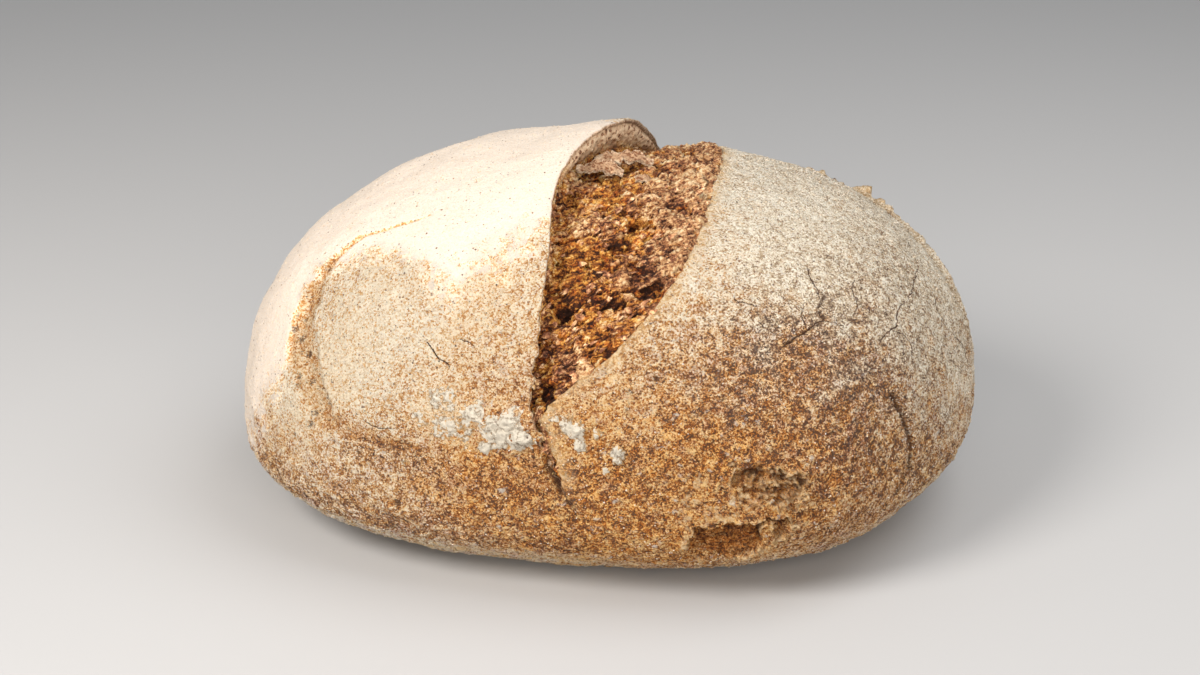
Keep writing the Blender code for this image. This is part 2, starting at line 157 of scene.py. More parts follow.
DEEP_SLASH = 4.0
RIM_HEIGHT, RIM_WIDTH, RIM_RAGGED, RIM_RAGGED_SIZE = 1.5, 2.6, 0.6, 4.0
SHARD_HEIGHT, SHARD_SIZE, SHARDS_TO, SHARDS_FADE = 2.4, 7.0, 110.0, 8.0

# Hollows of the torn patch low on the front: (x, turn, half length, half height, depth)
HOLLOWS = ((43.0, 97, 9.5, 6.0, 2.8), (36.5, 78, 13.0, 7.0, 3.2), (50.5, 80, 4.5, 5.5, 2.6))
HOLLOW_EDGE, HOLLOW_RAGGED, HOLLOW_RAGGED_SIZE = 0.22, 0.28, 7.0
LEDGE_PITCH, LEDGE_HEIGHT, LEDGE_WAVE, LEDGE_WAVE_SIZE, LEDGE_FACE = 5.2, 0.9, 3.0, 12.0, 2.5

# Cracks, as half width and depth in millimetres and (x, turn) points
CRACKS = (
    (0.45, 0.9, ((51.4, 127.7), (54.9, 129.7), (59.1, 131.7), (63.8, 134.3), (63.1, 137.3), (65.1, 140.7))),
    (1.5, 2.4, ((85.1, 115), (88.3, 108.7), (91.4, 100), (91.9, 91.3), (89.8, 85), (87.2, 79.7))),
    (1.3, 3.2, ((-17.9, 102.3), (-17.9, 99.3), (-15.6, 97), (-14.8, 95))),
    (0.5, 0.9, ((-14.8, 95), (-11.7, 92.7), (-10.2, 90.3))),
)
CRACK_WANDER, CRACK_WANDER_SIZE, CRACK_EDGE = 0.35, 2.2, 0.15
# Hairline cracks, as width in millimetres and (x, turn) points. Those of one row stay clear of each other
HAIRLINES = (
    ((0.22, ((-54.9, 125.7), (-52.9, 124), (-50.7, 121.7), (-47.9, 120.3), (-47.2, 119))),
     (0.17, ((-74.6, 109.7), (-72.1, 108), (-68.3, 107.3), (-63.1, 107.3))),
     (0.20, ((51.4, 127.7), (54.9, 129.7), (59.1, 131.7), (63.8, 134.3), (72, 133))),
     (0.22, ((59.7, 147.7), (60.4, 144.3), (62.4, 141.7), (63.4, 138.5))),
     (0.18, ((36.9, 138), (37.7, 136.7), (40.6, 136.3), (44.3, 135.7))),
     (0.18, ((90.9, 147), (93.4, 146), (95.7, 152.7), (97.6, 160.3), (99.4, 163.3))),
     (0.20, ((85.1, 133), (90, 132), (92.5, 128.5), (91.5, 124))),
     (0.18, ((108.5, 169), (110.1, 164.7), (111, 158.3))),
     (0.16, ((95.7, 176.7), (96.7, 173.7), (98, 172)))),
    ((0.18, ((-44.3, 125.3), (-42.8, 124.3), (-41.4, 124.3), (-39.2, 123))),
     (0.17, ((59.1, 131.7), (57.5, 135), (58.5, 138.5))),
     (0.22, ((81.7, 130), (85.1, 133), (87.8, 134.7), (88.3, 139), (91.4, 143.3))),
     (0.18, ((104, 152), (103, 147), (105, 142), (104, 137))),
     (0.17, ((75, 147), (73.5, 143), (75, 139), (73, 135.5))),
     (0.18, ((108.2, 137), (109.2, 136.3), (112.1, 134), (113.2, 130.3), (114.6, 123.3)))),
)
HAIRLINE_REACH, HAIRLINE_GAPE, HAIRLINE_FADE = 2.4, 1.35, 1.5

# Pores in and near the left-hand slash, as (x, turn, radius, depth), and smaller pits all over its floor;
# both are painted darker where deeper, as shade in them
PORES = ((-93.8, 127, 1.4, 1.3), (-89.8, 126, 1.1, 1.1), (-87.8, 117, 1.3, 1.2), (-86, 113, 1.6, 1.4),
         (-90.4, 110, 1.2, 1.0), (-91.4, 107, 1.2, 1.1), (-98, 136, 1.6, 1.4), (-92, 137, 1.0, 0.9),
         (-96.5, 132, 1.1, 1.0), (-110, 101, 1.2, 1.1), (-76, 101, 1.0, 0.9), (-96.7, 103, 1.0, 0.9),
         (-64.4, 89, 1.5, 1.2), (-84, 103, 1.0, 0.9), (14, 119, 1.3, 1.1), (6.5, 116, 1.1, 0.9),
         (33, 116, 1.2, 0.9), (66, 108, 1.1, 0.9))
PORE_RIM, PORE_EDGE, PORE_SHADE = 1.15, 0.7, 0.62
FLOOR_PIT, FLOOR_PIT_WALL, FLOOR_PITS_SHARE, FLOOR_PIT_DEPTH = 2.4, 0.6, 0.36, 0.8

# Lumps of dried flour on the front: (x, turn, reach, height)
FLOUR_LUMPS = ((-25, 107.5, 6.5, 1.7), (-33, 108.5, 6.0, 1.5), (-41.5, 110.5, 6.0, 1.1),
               (-49, 112, 4.5, 0.8), (-29, 104, 4.0, 1.2), (-8, 109.5, 5.0, 1.0), (2.5, 105, 2.6, 0.9))
LUMP_EDGE, LUMP_RAGGED, LUMP_RAGGED_SIZE = 0.5, 0.7, 3.2

# Unevenness of the whole crust
SWELL_SIZE, SWELL_HEIGHT = 40.0, 1.1
PUCKER_SIZE, PUCKER_HEIGHT = 11.0, 0.45
PEBBLE_SIZE, PEBBLE_WALL, PEBBLE_LEVEL, COARSE_SIZE, SAND_SIZE = 2.1, 0.5, 0.35, 3.4, 1.3
# What moves one seed's noise away from another's, and tells one cell from another
SEED_SHIFT, CELL_KEY = (17.3, 5.1, 9.7), (12.9, 78.2, 37.7)

# How the flour lies: the turn at which each kind of crust gives way to the next, as (x, turn)
DARK_BAND_TOP = ((-120, 92), (-100, 96), (-86, 100), (-57, 104), (-32, 106), (-15, 103), (-3, 103),
                 (9, 108), (26, 110), (44, 112), (61, 113), (77, 108), (100, 98), (120, 80))
FLOURED_FROM = ((-120, 98), (-109, 105), (-100, 112), (-88, 113), (-75, 110), (-62, 112), (-50, 114),
                (-32, 117), (-20, 117), (-3, 121), (15, 131), (38, 130), (62, 130), (81, 126),
                (94, 119), (109, 112), (120, 100))
WHITE_FROM = ((-120, 84), (-111, 90), (-104, 104), (-99, 122), (-95, 142), (-88, 151), (-80, 152),
              (-64, 148), (-54, 141), (-32, 142), (-19, 147), (-10, 156), (5, 170), (30, 185), (120, 190))
# How much flour bare crust has, and what each line adds: (line, amount, degrees of fade, fade at the ends)
BARE_COVER, BLOTCH_SIZE, BLOTCH_COVER, BLOTCH_GOLD = 0.22, 30.0, 0.12, 0.25
COVER_STEPS = ((DARK_BAND_TOP, 0.24, 14.0, 2.5), (FLOURED_FROM, 0.28, 24.0, 2.5),
               (WHITE_FROM, 0.16, 60.0, 0.0))
# The lines drift by so many degrees, as (degrees, size, seed), and more near the loaf's ends
DRIFTS, ENDS_FROM, ENDS_FADE, ENDS_MORE = ((5.0, 24.0, 31), (3.0, 5.0, 32)), 88.0, 30.0, 2.5
WHITE_DRIFT, WHITE_FADE, GREY_DRIFT, GREY_UP_FADE, SPOT_SQUASH = 1.3, 16.0, 1.6, 46.0, 1.2
LINES_END = 119.9
# Near the table the crust is paler: partly its own pale baked base, partly painted bounce light from the
# floor, with more painted bounce light on the left that fades out past an x
FOOT_BELOW, FOOT_FADE = 70.0, 9.0
PAINTED_BOUNCE_LEFT, PAINTED_BOUNCE_TO, PAINTED_BOUNCE_FADE = 1.8, 15.0, 30.0
# The sandy crust turns greyer to the right of this x; and dustings of flour, as (x, turn, reach, amount)
GREY_FROM, GREY_FADE = 2.0, 56.0
FLOUR_DUST = ((-50, 111, 7.0, 0.38), (-43, 106, 8.0, 0.20), (-12, 107, 6.0, 0.14), (-66, 92, 10.0, 0.20),
              (27, 96, 3.5, 0.30), (108, 112, 9.0, 0.22), (-100, 112, 12.0, 0.3), (-72, 125, 22.0, 0.3),
              (-84, 95, 18.0, 0.24), (0, 92, 26.0, -0.10), (-26, 96, 16.0, -0.10), (42, 118, 22.0, -0.20),
              (62, 112, 18.0, -0.12), (88, 96, 6.0, -0.16), (58, 117, 22.0, -0.78), (20, 106, 18.0, -0.08),
              (106, 104, 10.0, -0.16), (-30, 90, 40.0, -0.05),
              (88, 148, 22.0, -0.30), (106, 125, 16.0, -0.12), (48, 158, 26.0, 0.12))
# Where the front baked most golden, as (x, turn, reach, amount)
GOLDEN_SPOTS = ((-20, 66, 44.0, 0.3), (-10, 92, 34.0, 1.0), (24, 82, 26.0, 1.0), (30, 102, 18.0, 0.2),
                (-45, 96, 14.0, 0.4), (60, 108, 26.0, 0.5), (58, 80, 30.0, 0.5), (86, 150, 15.0, 0.6))
# Creases: (lean, (from x, fade), (below turn, fade), seed), how long and thick they are, and how high
STREAKS = ((-0.75, (-42.0, 30.0), (108.0, 16.0), 46), (2.2, (78.0, 20.0), (150.0, 20.0), 47),
           (2.6, (-98.0, 12.0), (140.0, 20.0), 48))
STREAK_RUN, STREAK_THICK, STREAK_HEIGHT = 9.0, 1.9, 0.42

# Mesh density of the crust and of the crumb; the crumb's first and last turn
DENSE_TURN, DENSE_SPREAD, DENSE_MORE = 135.0, 65.0, 1.6
CRUST_RINGS, CRUST_COLUMNS = 620, 148
CRUMB_RINGS, CRUMB_COLUMNS, CRUMB_TURNS = 440, 225, (90.0, 237.0)
# How finely a line over the skin is followed, how far round it is looked at, and what counts as far away
LINE_STEPS, LINE_MARGIN, FAR_AWAY = 12, 16.0, 1e3
DENSITY_STEPS = 721
CLEAR_OF_TABLE = 0.05
SEAT_CLEAR = 0.02

# How ragged the crust's edges are, and how uneven in thickness
EAR_RAGGED, EAR_CRUMBLED, FAR_RAGGED, RAGGED_TURNS = 0.3, 1.5, 0.9, 2.2
EAR_CRUMBLES_BELOW, EAR_CRUMBLES_OVER = 138, 22
# How pale the far edge is frayed over its last columns, and how its fraying comes and goes
FRAYED, FRAYED_SHARE, FRAYED_UNEVEN, FRAYED_TURNS = (0.15, 0.35, 0.65, 1.1), 0.75, 0.8, 1.5
LIP_UNEVEN, LIP_UNEVEN_TURNS = 0.35, 3.0
EAR_ROOT, EAR_FACE_SHARE, CRUMB_TUCK = 0.2, 0.2, 1.6
# The ear's face, paler partly in its own colour and partly as painted light, fades out over this share, and
# over these (turn, degrees)
EAR_FACE_FADE, EAR_FACE_FROM, EAR_FACE_TO = 0.13, (160, 12), (222, 10)
FIBRE_SIZE, FIBRE_HEIGHT, CRUMB_GRAIN = (5.0, 0.8, 0.9), 0.28, 0.22
CELL_WALL, CELL_LEVEL = 0.45, 0.35
# Usual height of the crumb's relief, and its usual spread about it, in millimetres
CRUMB_LEVEL, CRUMB_SPREAD = 1.75, 1.15
NORMALS_EVENED = 6

# Thin skins torn up from the crumb
SKINS, SKIN_SEED, SKIN_THICK, SKIN_ROOT = 230, 5, 0.16, 0.35
# Where over the crumb's grid they are torn up, from how many tries for each, and their sizes
SKIN_RINGS, SKIN_COLUMNS, SKIN_TRIES = (0.08, 0.66), (0.22, 0.95), 6
SKIN_LENGTH, SKIN_WIDTH, SKIN_LIFT = (1.2, 3.6), (1.0, 2.6), (0.1, 0.35)
SHEET_THICK, SHEET_CRUMPLE = 0.4, ((1.5, 4.0, 132), (0.4, 1.2, 133))
# Sheets torn up at the crest, as (x, turn, length, width, lift, heading in degrees, height over the crust)
CREST_FLAKES = ((-2, 173, 15.0, 6.5, 2.2, -7, -4.2), (5.5, 178, 19.0, 7.0, 2.6, 8, -2.6),
                (12.5, 171.5, 8.0, 5.0, 1.6, -12, -4.6))

# The torn patch: the grid it is made on, and its outlines in (x, turn). Tears have a depth, how wide their
# upper and lower edges slope, and how fibrous they are. Flaps of pale crust left standing have a height
PATCH_X, PATCH_TURNS, PATCH_PITCH, PATCH_TURN_PITCH = (12.0, 68.0), (54.0, 120.0), 0.3, 0.26
PATCH_MIDDLE, PATCH_REACH = (39.0, 88.0), (26.0, 27.0)
TEARS = (
    (2.7, 0.7, 4.0, 0.35, ((36.8, 100.6), (43, 101.4), (50, 100), (57, 99.4), (58, 95), (56, 90.5), (50, 90),
                           (46, 92.4), (41, 91.6), (36.5, 93), (34, 96.5))),
    (4.2, 0.7, 2.6, 1.0, ((25.5, 84.5), (31, 87), (37, 86.6), (44.8, 86), (46, 80), (46.5, 73), (43.5, 67),
                          (38, 63.5), (32, 62.5), (27.5, 64.5), (25.2, 70), (24.4, 78))),
    (4.6, 0.7, 1.6, 0.6, ((48, 87.5), (52, 88), (54, 83), (52.6, 78), (49.5, 75.5), (47.6, 79))),
    (1.6, 0.7, 2.4, 0.5, ((46, 96.2), (51, 97), (54.5, 95.8), (53, 94), (47, 94.4))),
)
FLAPS = (
    (0.9, ((21.5, 92), (30, 93.4), (36.5, 92), (45.5, 88), (45, 86.4), (37, 87.2), (31, 87.6), (24.5, 85.4))),
    (0.7, ((53.8, 100.5), (58.6, 100.5), (59.4, 92), (57.8, 87.6), (55.4, 90), (55, 96))),
    (0.7, ((25, 100), (28.4, 99), (28, 94.5), (25, 92), (21.8, 93), (22.6, 97))),
    (0.6, ((24.5, 68), (27, 63.6), (33, 61.4), (40, 62.4), (45, 66.5), (44.6, 63.4), (38, 59.6), (29, 59.6),
           (23.4, 64))),
)
# Its ragged outlines and its lumps and crumbs as (amount, size, seed), and what comes in patches as
# (contrast, size, seed): pale rims, painted shade under the tears' upper edges, and pale bits
TEAR_RAGGED, TORN_CRUMBS = ((2.4, 7.0, 121), (2.2, 2.2, 122)), ((2.0, 4.0, 125), (1.6, 1.3, 126))
RIM_PATCHES, SHADE_GAP_PATCHES, PALE_BITS = (1.6, 3.0, 127), (2.0, 5.0, 129), (2.4, 1.8, 130)
RIM_REACH, FLAP_EDGE, FLAP_PALE, EDGE_HEIGHT = 0.75, 0.5, 0.75, 1.4
LAYER_WAVE, LAYER_WAVE_SIZE, LAYER_PITCH, LAYER_HEIGHT = 3.0, 12.0, 3.4, 0.9
FIBRE_RUN, FIBRE_THICK, FIBRE_DEPTH = 8.0, 1.5, 0.8
CRUST_UNDER_PATCH, PATCH_SINK = 1.7, 0.9
PATCH_BORDER, PATCH_WANDER, PATCH_WANDER_SIZE, PATCH_FADE, CRUST_HIDDEN_TO = 1.2, 0.05, 6.0, 0.12, 0.92

# Clods of dried flour: (x, turn, half length, half height, how thick), and the pitch of their patch
CLODS = ((-31, 107, 8.2, 6.8, 1.0), (-25.7, 105.2, 7.0, 4.2, 1.0), (-39.5, 110.5, 4.8, 3.6, 0.9),
         (-26.8, 110.3, 3.2, 3.4, 0.9), (-57, 109.7, 3.0, 3.0, 0.66), (-49.5, 113, 5.8, 5.0, 0.64),
         (-46, 107.5, 9.0, 5.6, 0.66), (-36.5, 103.5, 2.6, 2.4, 0.8), (-10.5, 108, 4.6, 4.2, 0.72),
         (-8.5, 105, 2.4, 2.8, 0.72), (-3.3, 107, 1.8, 2.2, 0.62), (2.7, 103.5, 2.6, 3.6, 1.0),
         (-1, 100, 1.4, 1.6, 0.6), (-16, 109.5, 1.9, 1.6, 0.6))
CLODS_X, CLODS_TURNS, CLOD_PITCH, CLOD_TURN_PITCH = (-62.0, 12.0), (98.0, 121.0), 0.3, 0.225
# How their rims slope and fray, as (amount, size, seed), and the cells and crumbs that they break into
CLOD_RIM, CLOD_EDGE, CLOD_RAGGED, CLOD_LEVEL = 1.25, 0.9, ((0.42, 3.4, 93), (0.36, 1.1, 94)), 0.42
CLOD_CELL, CLOD_GAP, CLOD_CRUMB, CLOD_CRUMB_WALL, CLOD_CRUMB_HEIGHT = 3.6, 0.12, 1.0, 0.5, 0.5
CLOD_STEEP, CLOD_HEIGHT, CLOD_GRIT, CLOD_GRIT_SIZE, CLOD_SINK = 1.7, 1.0, 0.3, 0.9, 0.35

# Loose grains of flour and flecks of bran: how many, and their radius in millimetres
FLOUR_GRAINS, FLOUR_RADIUS = 14000, (0.12, 0.36)
BRAN_FLECKS, BRAN_RADIUS = 5000, (0.14, 0.42)

# Masks that the crust's finish reads, and colours that nobody is likely to change
CRUST_MASKS = ("cover", "white", "grey", "foot", "slashed", "torn", "cracked", "fine", "cut", "rim", "golden")
BARE_TONE, COVER_TONE = 0.34, 0.56
TAN_SAND, PALE_SAND = (0.63, 0.37, 0.145), (0.87, 0.77, 0.61)
GREY_BAKE = ((0.27, (0.30, 0.19, 0.11)), (0.46, (0.50, 0.355, 0.22)), (0.64, (0.67, 0.53, 0.36)),
             (0.82, (0.85, 0.745, 0.585)), (1.0, (0.97, 0.89, 0.755)))
MOTTLE_COLOUR, PINK_DUST, OLIVE_FLECK = (0.13, 0.055, 0.03), (0.66, 0.52, 0.40), (0.15, 0.10, 0.06)
WHITE_SHADE = (0.60, 0.48, 0.365)
TORN_FIBRES = ((0.26, (0.045, 0.014, 0.005)), (0.40, (0.17, 0.05, 0.011)), (0.54, (0.39, 0.11, 0.012)),
               (0.68, (0.56, 0.22, 0.038)), (0.86, (0.78, 0.51, 0.22)))
FIBRE_STRETCH, STRAND_DRAWN, STRAND_LEAN = (0.22, 1.0, 1.0), (2.6, 1.0, 1.0), (0.0, -0.35, 0.0)
# The dark of the cracks, also used as painted shade in pores and under the torn patch's upper edges
CRACK_COLOUR = (0.075, 0.03, 0.014)
CUT_DARK, CUT_LIGHT = (0.28, 0.14, 0.07), (0.74, 0.52, 0.34)
RIM_GOLD, RIM_CREAM = (0.60, 0.32, 0.10), (0.86, 0.65, 0.39)
# Colours of the torn crumb from painted shade deep in holes to the thin walls between, where it is golden and
# on the burnt crests, and of the porous face of the ear, which is partly painted light
GOLD_AT, BURNT_AT = 0.58, 0.46
AMBER_CRUMB = ((0.0, (0.03, 0.008, 0.002)), (0.22, (0.16, 0.042, 0.008)), (0.41, (0.42, 0.135, 0.02)),
               (0.76, (0.76, 0.40, 0.085)), (1.0, (0.92, 0.69, 0.34)))
CREST_CRUMB = ((0.0, (0.03, 0.011, 0.007)), (0.24, (0.15, 0.052, 0.024)), (0.68, (0.64, 0.38, 0.19)),
               (1.0, (0.86, 0.67, 0.44)))
RUDDY_TINT, FRONT_TINT = (1.0, 0.62, 0.36), (1.0, 0.74, 0.38)
ORANGE_TINT, PURPLE_TINT = (1.02, 0.87, 0.62), (0.84, 0.77, 0.84)
EAR_CRUMB_AND_LIGHT = ((0.0, (0.06, 0.022, 0.012)), (0.28, (0.28, 0.115, 0.055)), (0.6, (0.72, 0.40, 0.215)),
             (1.0, (1.0, 0.74, 0.49)))
SHEET_BROWN, SHEET_PINK, SHEET_EDGE = (0.26, 0.10, 0.04), (0.62, 0.38, 0.22), (0.84, 0.64, 0.44)
LUMP_GREY, LUMP_WHITE = (0.24, 0.165, 0.10), (0.72, 0.645, 0.53)
BRAN_LIGHT = (0.30, 0.17, 0.09)

# The stage: floor, lights and what they shine with
# The floor is painted darker towards the back, between two distances in y: painted shade where less light
# reaches
FLOOR_HALF, FLOOR_FAR_SHADED = 4.0, (0.35, 0.35, 0.355)
FLOOR_SHADE_FROM, FLOOR_SHADE_TO = 0.05, 0.85
KEY_PLACE, KEY_SIZE, KEY_COLOUR = (-0.52, -0.50, 0.67), 0.40, (1.0, 0.975, 0.94)
FILL_PLACE, FILL_SIZE, FILL_COLOUR = (0.12, -0.94, 0.36), 0.7, (1.0, 0.95, 0.89)
TOP_PLACE, TOP_SIZE, TOP_COLOUR = (0.40, -0.06, 0.80), 0.7, (0.93, 0.97, 1.0)
SURROUND_COLOUR = (0.98, 0.975, 0.97)


# ------------------------------------------------------------------ what a user may change


class LoafSizes(bpy.types.PropertyGroup):
    length: FloatProperty(
        name="Length", description="Length of the dough body along the loaf",
        default=0.239, min=0.05, unit="LENGTH")
    depth: FloatProperty(
        name="Depth", description="Depth of the dough body from front to back, before it bulges",
        default=0.176, min=0.05, unit="LENGTH")
    waist_height: FloatProperty(
        name="Waist height", description="Height at which the body is widest",
        default=0.0315, min=0.01, unit="LENGTH")
    crown_rise: FloatProperty(
        name="Crown rise", description="Height of the crown above the waist",
        default=0.0814, min=0.01, unit="LENGTH")
    crag_depth: FloatProperty(
        name="Crag depth", description="Relief of the torn crumb in the burst",
        default=0.003, min=0.0, unit="LENGTH")
    pebble_height: FloatProperty(
        name="Pebble height", description="Relief of the bare, pebbled crust",
        default=0.00062, min=0.0, unit="LENGTH")
    sand_height: FloatProperty(
        name="Sand height", description="Relief of the floured crust's sandy skin",
        default=0.00028, min=0.0, unit="LENGTH")


class LoafColours(bpy.types.PropertyGroup):
    white_flour: FloatVectorProperty(
        name="White flour", description="Thick flour on the left of the crown",
        subtype="COLOR", size=3, min=0, max=1, default=(0.655, 0.575, 0.505))
    cream_flour: FloatVectorProperty(
        name="Cream flour", description="Flour baked on to the crust",
        subtype="COLOR", size=3, min=0, max=1, default=(0.74, 0.59, 0.41))
    golden_crust: FloatVectorProperty(
        name="Golden crust", description="Bare crust where it baked palest",
        subtype="COLOR", size=3, min=0, max=1, default=(0.49, 0.205, 0.05))
    brown_crust: FloatVectorProperty(
        name="Brown crust", description="Bare crust where it baked darkest",
        subtype="COLOR", size=3, min=0, max=1, default=(0.25, 0.095, 0.032))
    bran: FloatVectorProperty(
        name="Bran", description="Flecks of bran and burnt flour",
        subtype="COLOR", size=3, min=0, max=1, default=(0.105, 0.065, 0.05))
    crumb_gold: FloatVectorProperty(
        name="Golden crumb", description="Torn crumb on the slopes of the burst",
        subtype="COLOR", size=3, min=0, max=1, default=(0.64, 0.29, 0.052))
    crumb_burnt: FloatVectorProperty(
        name="Burnt crumb", description="Purple brown crests of the torn crumb",
        subtype="COLOR", size=3, min=0, max=1, default=(0.34, 0.145, 0.065))


class LoafStage(bpy.types.PropertyGroup):
    elevation: FloatProperty(
        name="Elevation", description="Angle at which the camera looks down on the loaf",
        default=math.radians(23.0), subtype="ANGLE")
    distance: FloatProperty(
        name="Distance", description="Distance of the camera from its target",
        default=0.762, min=0.1, unit="LENGTH")
    target: FloatVectorProperty(
        name="Target", description="Point that the camera looks at",
        size=3, subtype="TRANSLATION", unit="LENGTH", default=(-0.003, 0.0017, 0.051))
    lens: FloatProperty(
        name="Lens", description="Focal length in millimetres on a 36 mm wide sensor",
        default=70.0, min=10.0)
    key_power: FloatProperty(
        name="Key power", description="Power in watts of the soft light above on the left",
        default=9.9, min=0.0)
    fill_power: FloatProperty(
        name="Fill power", description="Power in watts of the wide light in front on the right",
        default=8.0, min=0.0)
    top_power: FloatProperty(
        name="Top power", description="Power in watts of the cool light above on the right",
        default=4.6, min=0.0)
    surround: FloatProperty(
        name="Surround", description="Strength of the even light from all round",
        default=0.44, min=0.0)
    floor_colour: FloatVectorProperty(
        name="Floor colour", description="Colour of the plain floor",
        subtype="COLOR", size=3, min=0, max=1, default=(0.41, 0.40, 0.395))


# ------------------------------------------------------------------ curves and noise


def curve_through(stations, at):
    """A smooth curve through (place, value) stations, read at many places."""
    places, values = np.array(stations, float).T
    slopes = np.gradient(values, places)
    i = np.clip(np.searchsorted(places, at) - 1, 0, len(places) - 2)
    gap = places[i + 1] - places[i]
    t = np.clip((at - places[i]) / gap, 0.0, 1.0)
    start = (1 + 2 * t) * (1 - t) ** 2 * values[i] + t * (1 - t) ** 2 * gap * slopes[i]
    end = t**2 * (3 - 2 * t) * values[i + 1] - t**2 * (1 - t) * gap * slopes[i + 1]
    return start + end


def ease(t):
    """0 to 1 with a soft start and end."""
    t = np.clip(t, 0.0, 1.0)
    return t * t * (3 - 2 * t)


def rough(points, size, seed, octaves=3):
    """Fractal noise from about -1 to 1 at each point, its largest lumps this many millimetres across."""
    shift = Vector(SEED_SHIFT) * seed
    values = [noise.fractal(Vector(p) + shift, 1.0, 2.0, octaves) for p in points / size]
    return np.array(values)


def layered(points, layers):
    """Fractal noises added up, as (amount, size, seed)."""
    return sum(amount * rough(points, size, seed=seed) for amount, size, seed in layers)


def in_patches(points, contrast, size, seed):
    """0 to 1 in patches about this many millimetres across."""
    return ease(0.5 + contrast * rough(points, size, seed=seed))


def rough_along(values, size, seed, octaves=3):
    """Fractal noise over one coordinate, such as the turn."""
    return rough(np.stack([values, 0 * values, 0 * values], -1), size, seed, octaves)


def cells(points, size, seed):
    """For each point: how far it is inside its cell, 0 at a wall, and a number from 0 to 1 for the cell."""
    shift = Vector(SEED_SHIFT) * seed
    inside, own = np.empty(len(points)), np.empty(len(points))
    for i, p in enumerate(points / size):
        distances, centres = noise.voronoi(Vector(p) + shift)
        inside[i] = distances[1] - distances[0]
        own[i] = centres[0].x * CELL_KEY[0] + centres[0].y * CELL_KEY[1] + centres[0].z * CELL_KEY[2]
    return inside, own % 1.0


# ------------------------------------------------------------------ the dough body


class Dough:
    """The unslashed dough: a closed skin round the X axis, resting flat on the table."""

    def __init__(self, sizes):
        self.length = sizes.length / MM
        self.depth = sizes.depth / MM
        self.waist_height = sizes.waist_height / MM
        self.crown_rise = sizes.crown_rise / MM

    def skin(self, x, turn):
        along = np.clip(x / (self.length / 2), -1.0, 1.0)
        angle = np.radians(turn)
        out, up = -np.sin(angle), -np.cos(angle)
        fullness = np.where(up > 0, CROWN_FULLNESS, BELLY_FULLNESS)
        reach = (np.abs(out) ** fullness + np.abs(up) ** fullness) ** (-1 / fullness)
        out, up = out * reach, up * reach

        plan = (1 - np.abs(along) ** PLAN_FULLNESS) ** (1 / PLAN_FULLNESS)
        crest = (1 - np.abs(along) ** CREST_FULLNESS) ** (1 / CREST_FULLNESS)
        bulge = 1.0
        for amount, at, spread in FRONT_BULGES:
            bulge = bulge + amount * np.exp(-(((along - at) / spread) ** 2))
        y = self.depth / 2 * plan * out * np.where(out < 0, bulge, 1.0)

        waist = self.waist_height + WAIST_TILT * along
        shoulder = SHOULDER_RISE * np.exp(-(((along - SHOULDER_AT) / SHOULDER_SPREAD) ** 2))
        crown = self.crown_rise * (1 + CREST_LEAN * along + shoulder)
        z = waist + np.where(up > 0, crest * crown * up, plan * BELLY_DROP * waist * up)
        return np.stack([x + 0 * y, y, rest_on_table(z)], -1)

    def x_of(self, place):
        """Places from -1 to 1 lie closer together near the loaf's ends."""
        return self.length / 2 * np.sin(place * np.pi / 2)

    def place_of(self, x):
        return np.arcsin(np.clip(x / (self.length / 2), -1, 1)) * 2 / np.pi

    def normals(self, x, turn):
        place, step, turn_step = self.place_of(x), 1e-4, 0.05
        after, before = np.clip(place + step, -1, 1), np.clip(place - step, -1, 1)
        across = self.skin(self.x_of(after), turn) - self.skin(self.x_of(before), turn)
        here = self.x_of(place)
        around = self.skin(here, turn + turn_step) - self.skin(here, turn - turn_step)
        normals = np.cross(across, around)
        length = np.linalg.norm(normals, axis=-1, keepdims=True)
        return normals / np.maximum(length, 1e-9)

    def on_skin(self, places):
        """Points and normals of (x, turn) places."""
        x, turn = np.array(places, float).T
        return self.skin(x, turn), self.normals(x, turn)


class Skin:
    """Places on the dough, each with its point and its normal, in millimetres. The points stand in a grid and
    again in one row, where up is the turn with the back folded over on to the front."""

    def __init__(self, dough, x, turn):
        turn = np.broadcast_to(turn, x.shape)
        self.dough, self.shape = dough, x.shape
        self.grid, self.normal = dough.skin(x, turn), dough.normals(x, turn)
        self.points = self.grid.reshape(-1, 3)
        self.x, self.turn = x.ravel(), turn.ravel()
        self.up = 180 - np.abs(180 - self.turn)

    def raised(self, high):
        """The grid with this relief on it."""
        return self.grid + self.normal * high.reshape(self.shape)[..., None]

    def away_from(self, x, turn):
        """Distance of each point from one place."""
        return np.linalg.norm(self.points - self.dough.on_skin([(x, turn)])[0], axis=1)


def rest_on_table(z):
    """Heights with what lies below the table pressed flat, and the foot's edge rounded."""
    edge = (z + FOOT_ROUNDING) ** 2 / (4 * FOOT_ROUNDING)
    return np.where(z > FOOT_ROUNDING, z, np.where(z < -FOOT_ROUNDING, 0.0, edge))


def ring_turns(rings, first=0.0, last=360.0):
    """Turns of the rings, closer together over the front and the crown than below and behind."""
    turn = np.linspace(first, last, DENSITY_STEPS)
    density = 1 + DENSE_MORE * np.exp(-(((turn - DENSE_TURN) / DENSE_SPREAD) ** 2))
    share = np.concatenate([[0], np.cumsum((density[1:] + density[:-1]) / 2)])
    whole_turn = last - first >= 360.0
    return np.interp(np.arange(rings) / (rings if whole_turn else rings - 1) * share[-1], share, turn)


# ------------------------------------------------------------------ the burst's edges


def burst_opening(turn):
    return np.clip(curve_through(BURST_OPENING, turn), 0, 1)


def burst_edges(turn):
    """x of the ear and of the far edge at each turn. Both wander low on the front, where they close."""
    low = ease((WANDER_BELOW - turn) / WANDER_FADE)
    wander = EDGE_WANDER * low * rough_along(turn, WANDER_TURNS, seed=21, octaves=2)
    return curve_through(EAR_LINE, turn) + wander, curve_through(BREAK_LINE, turn) + wander


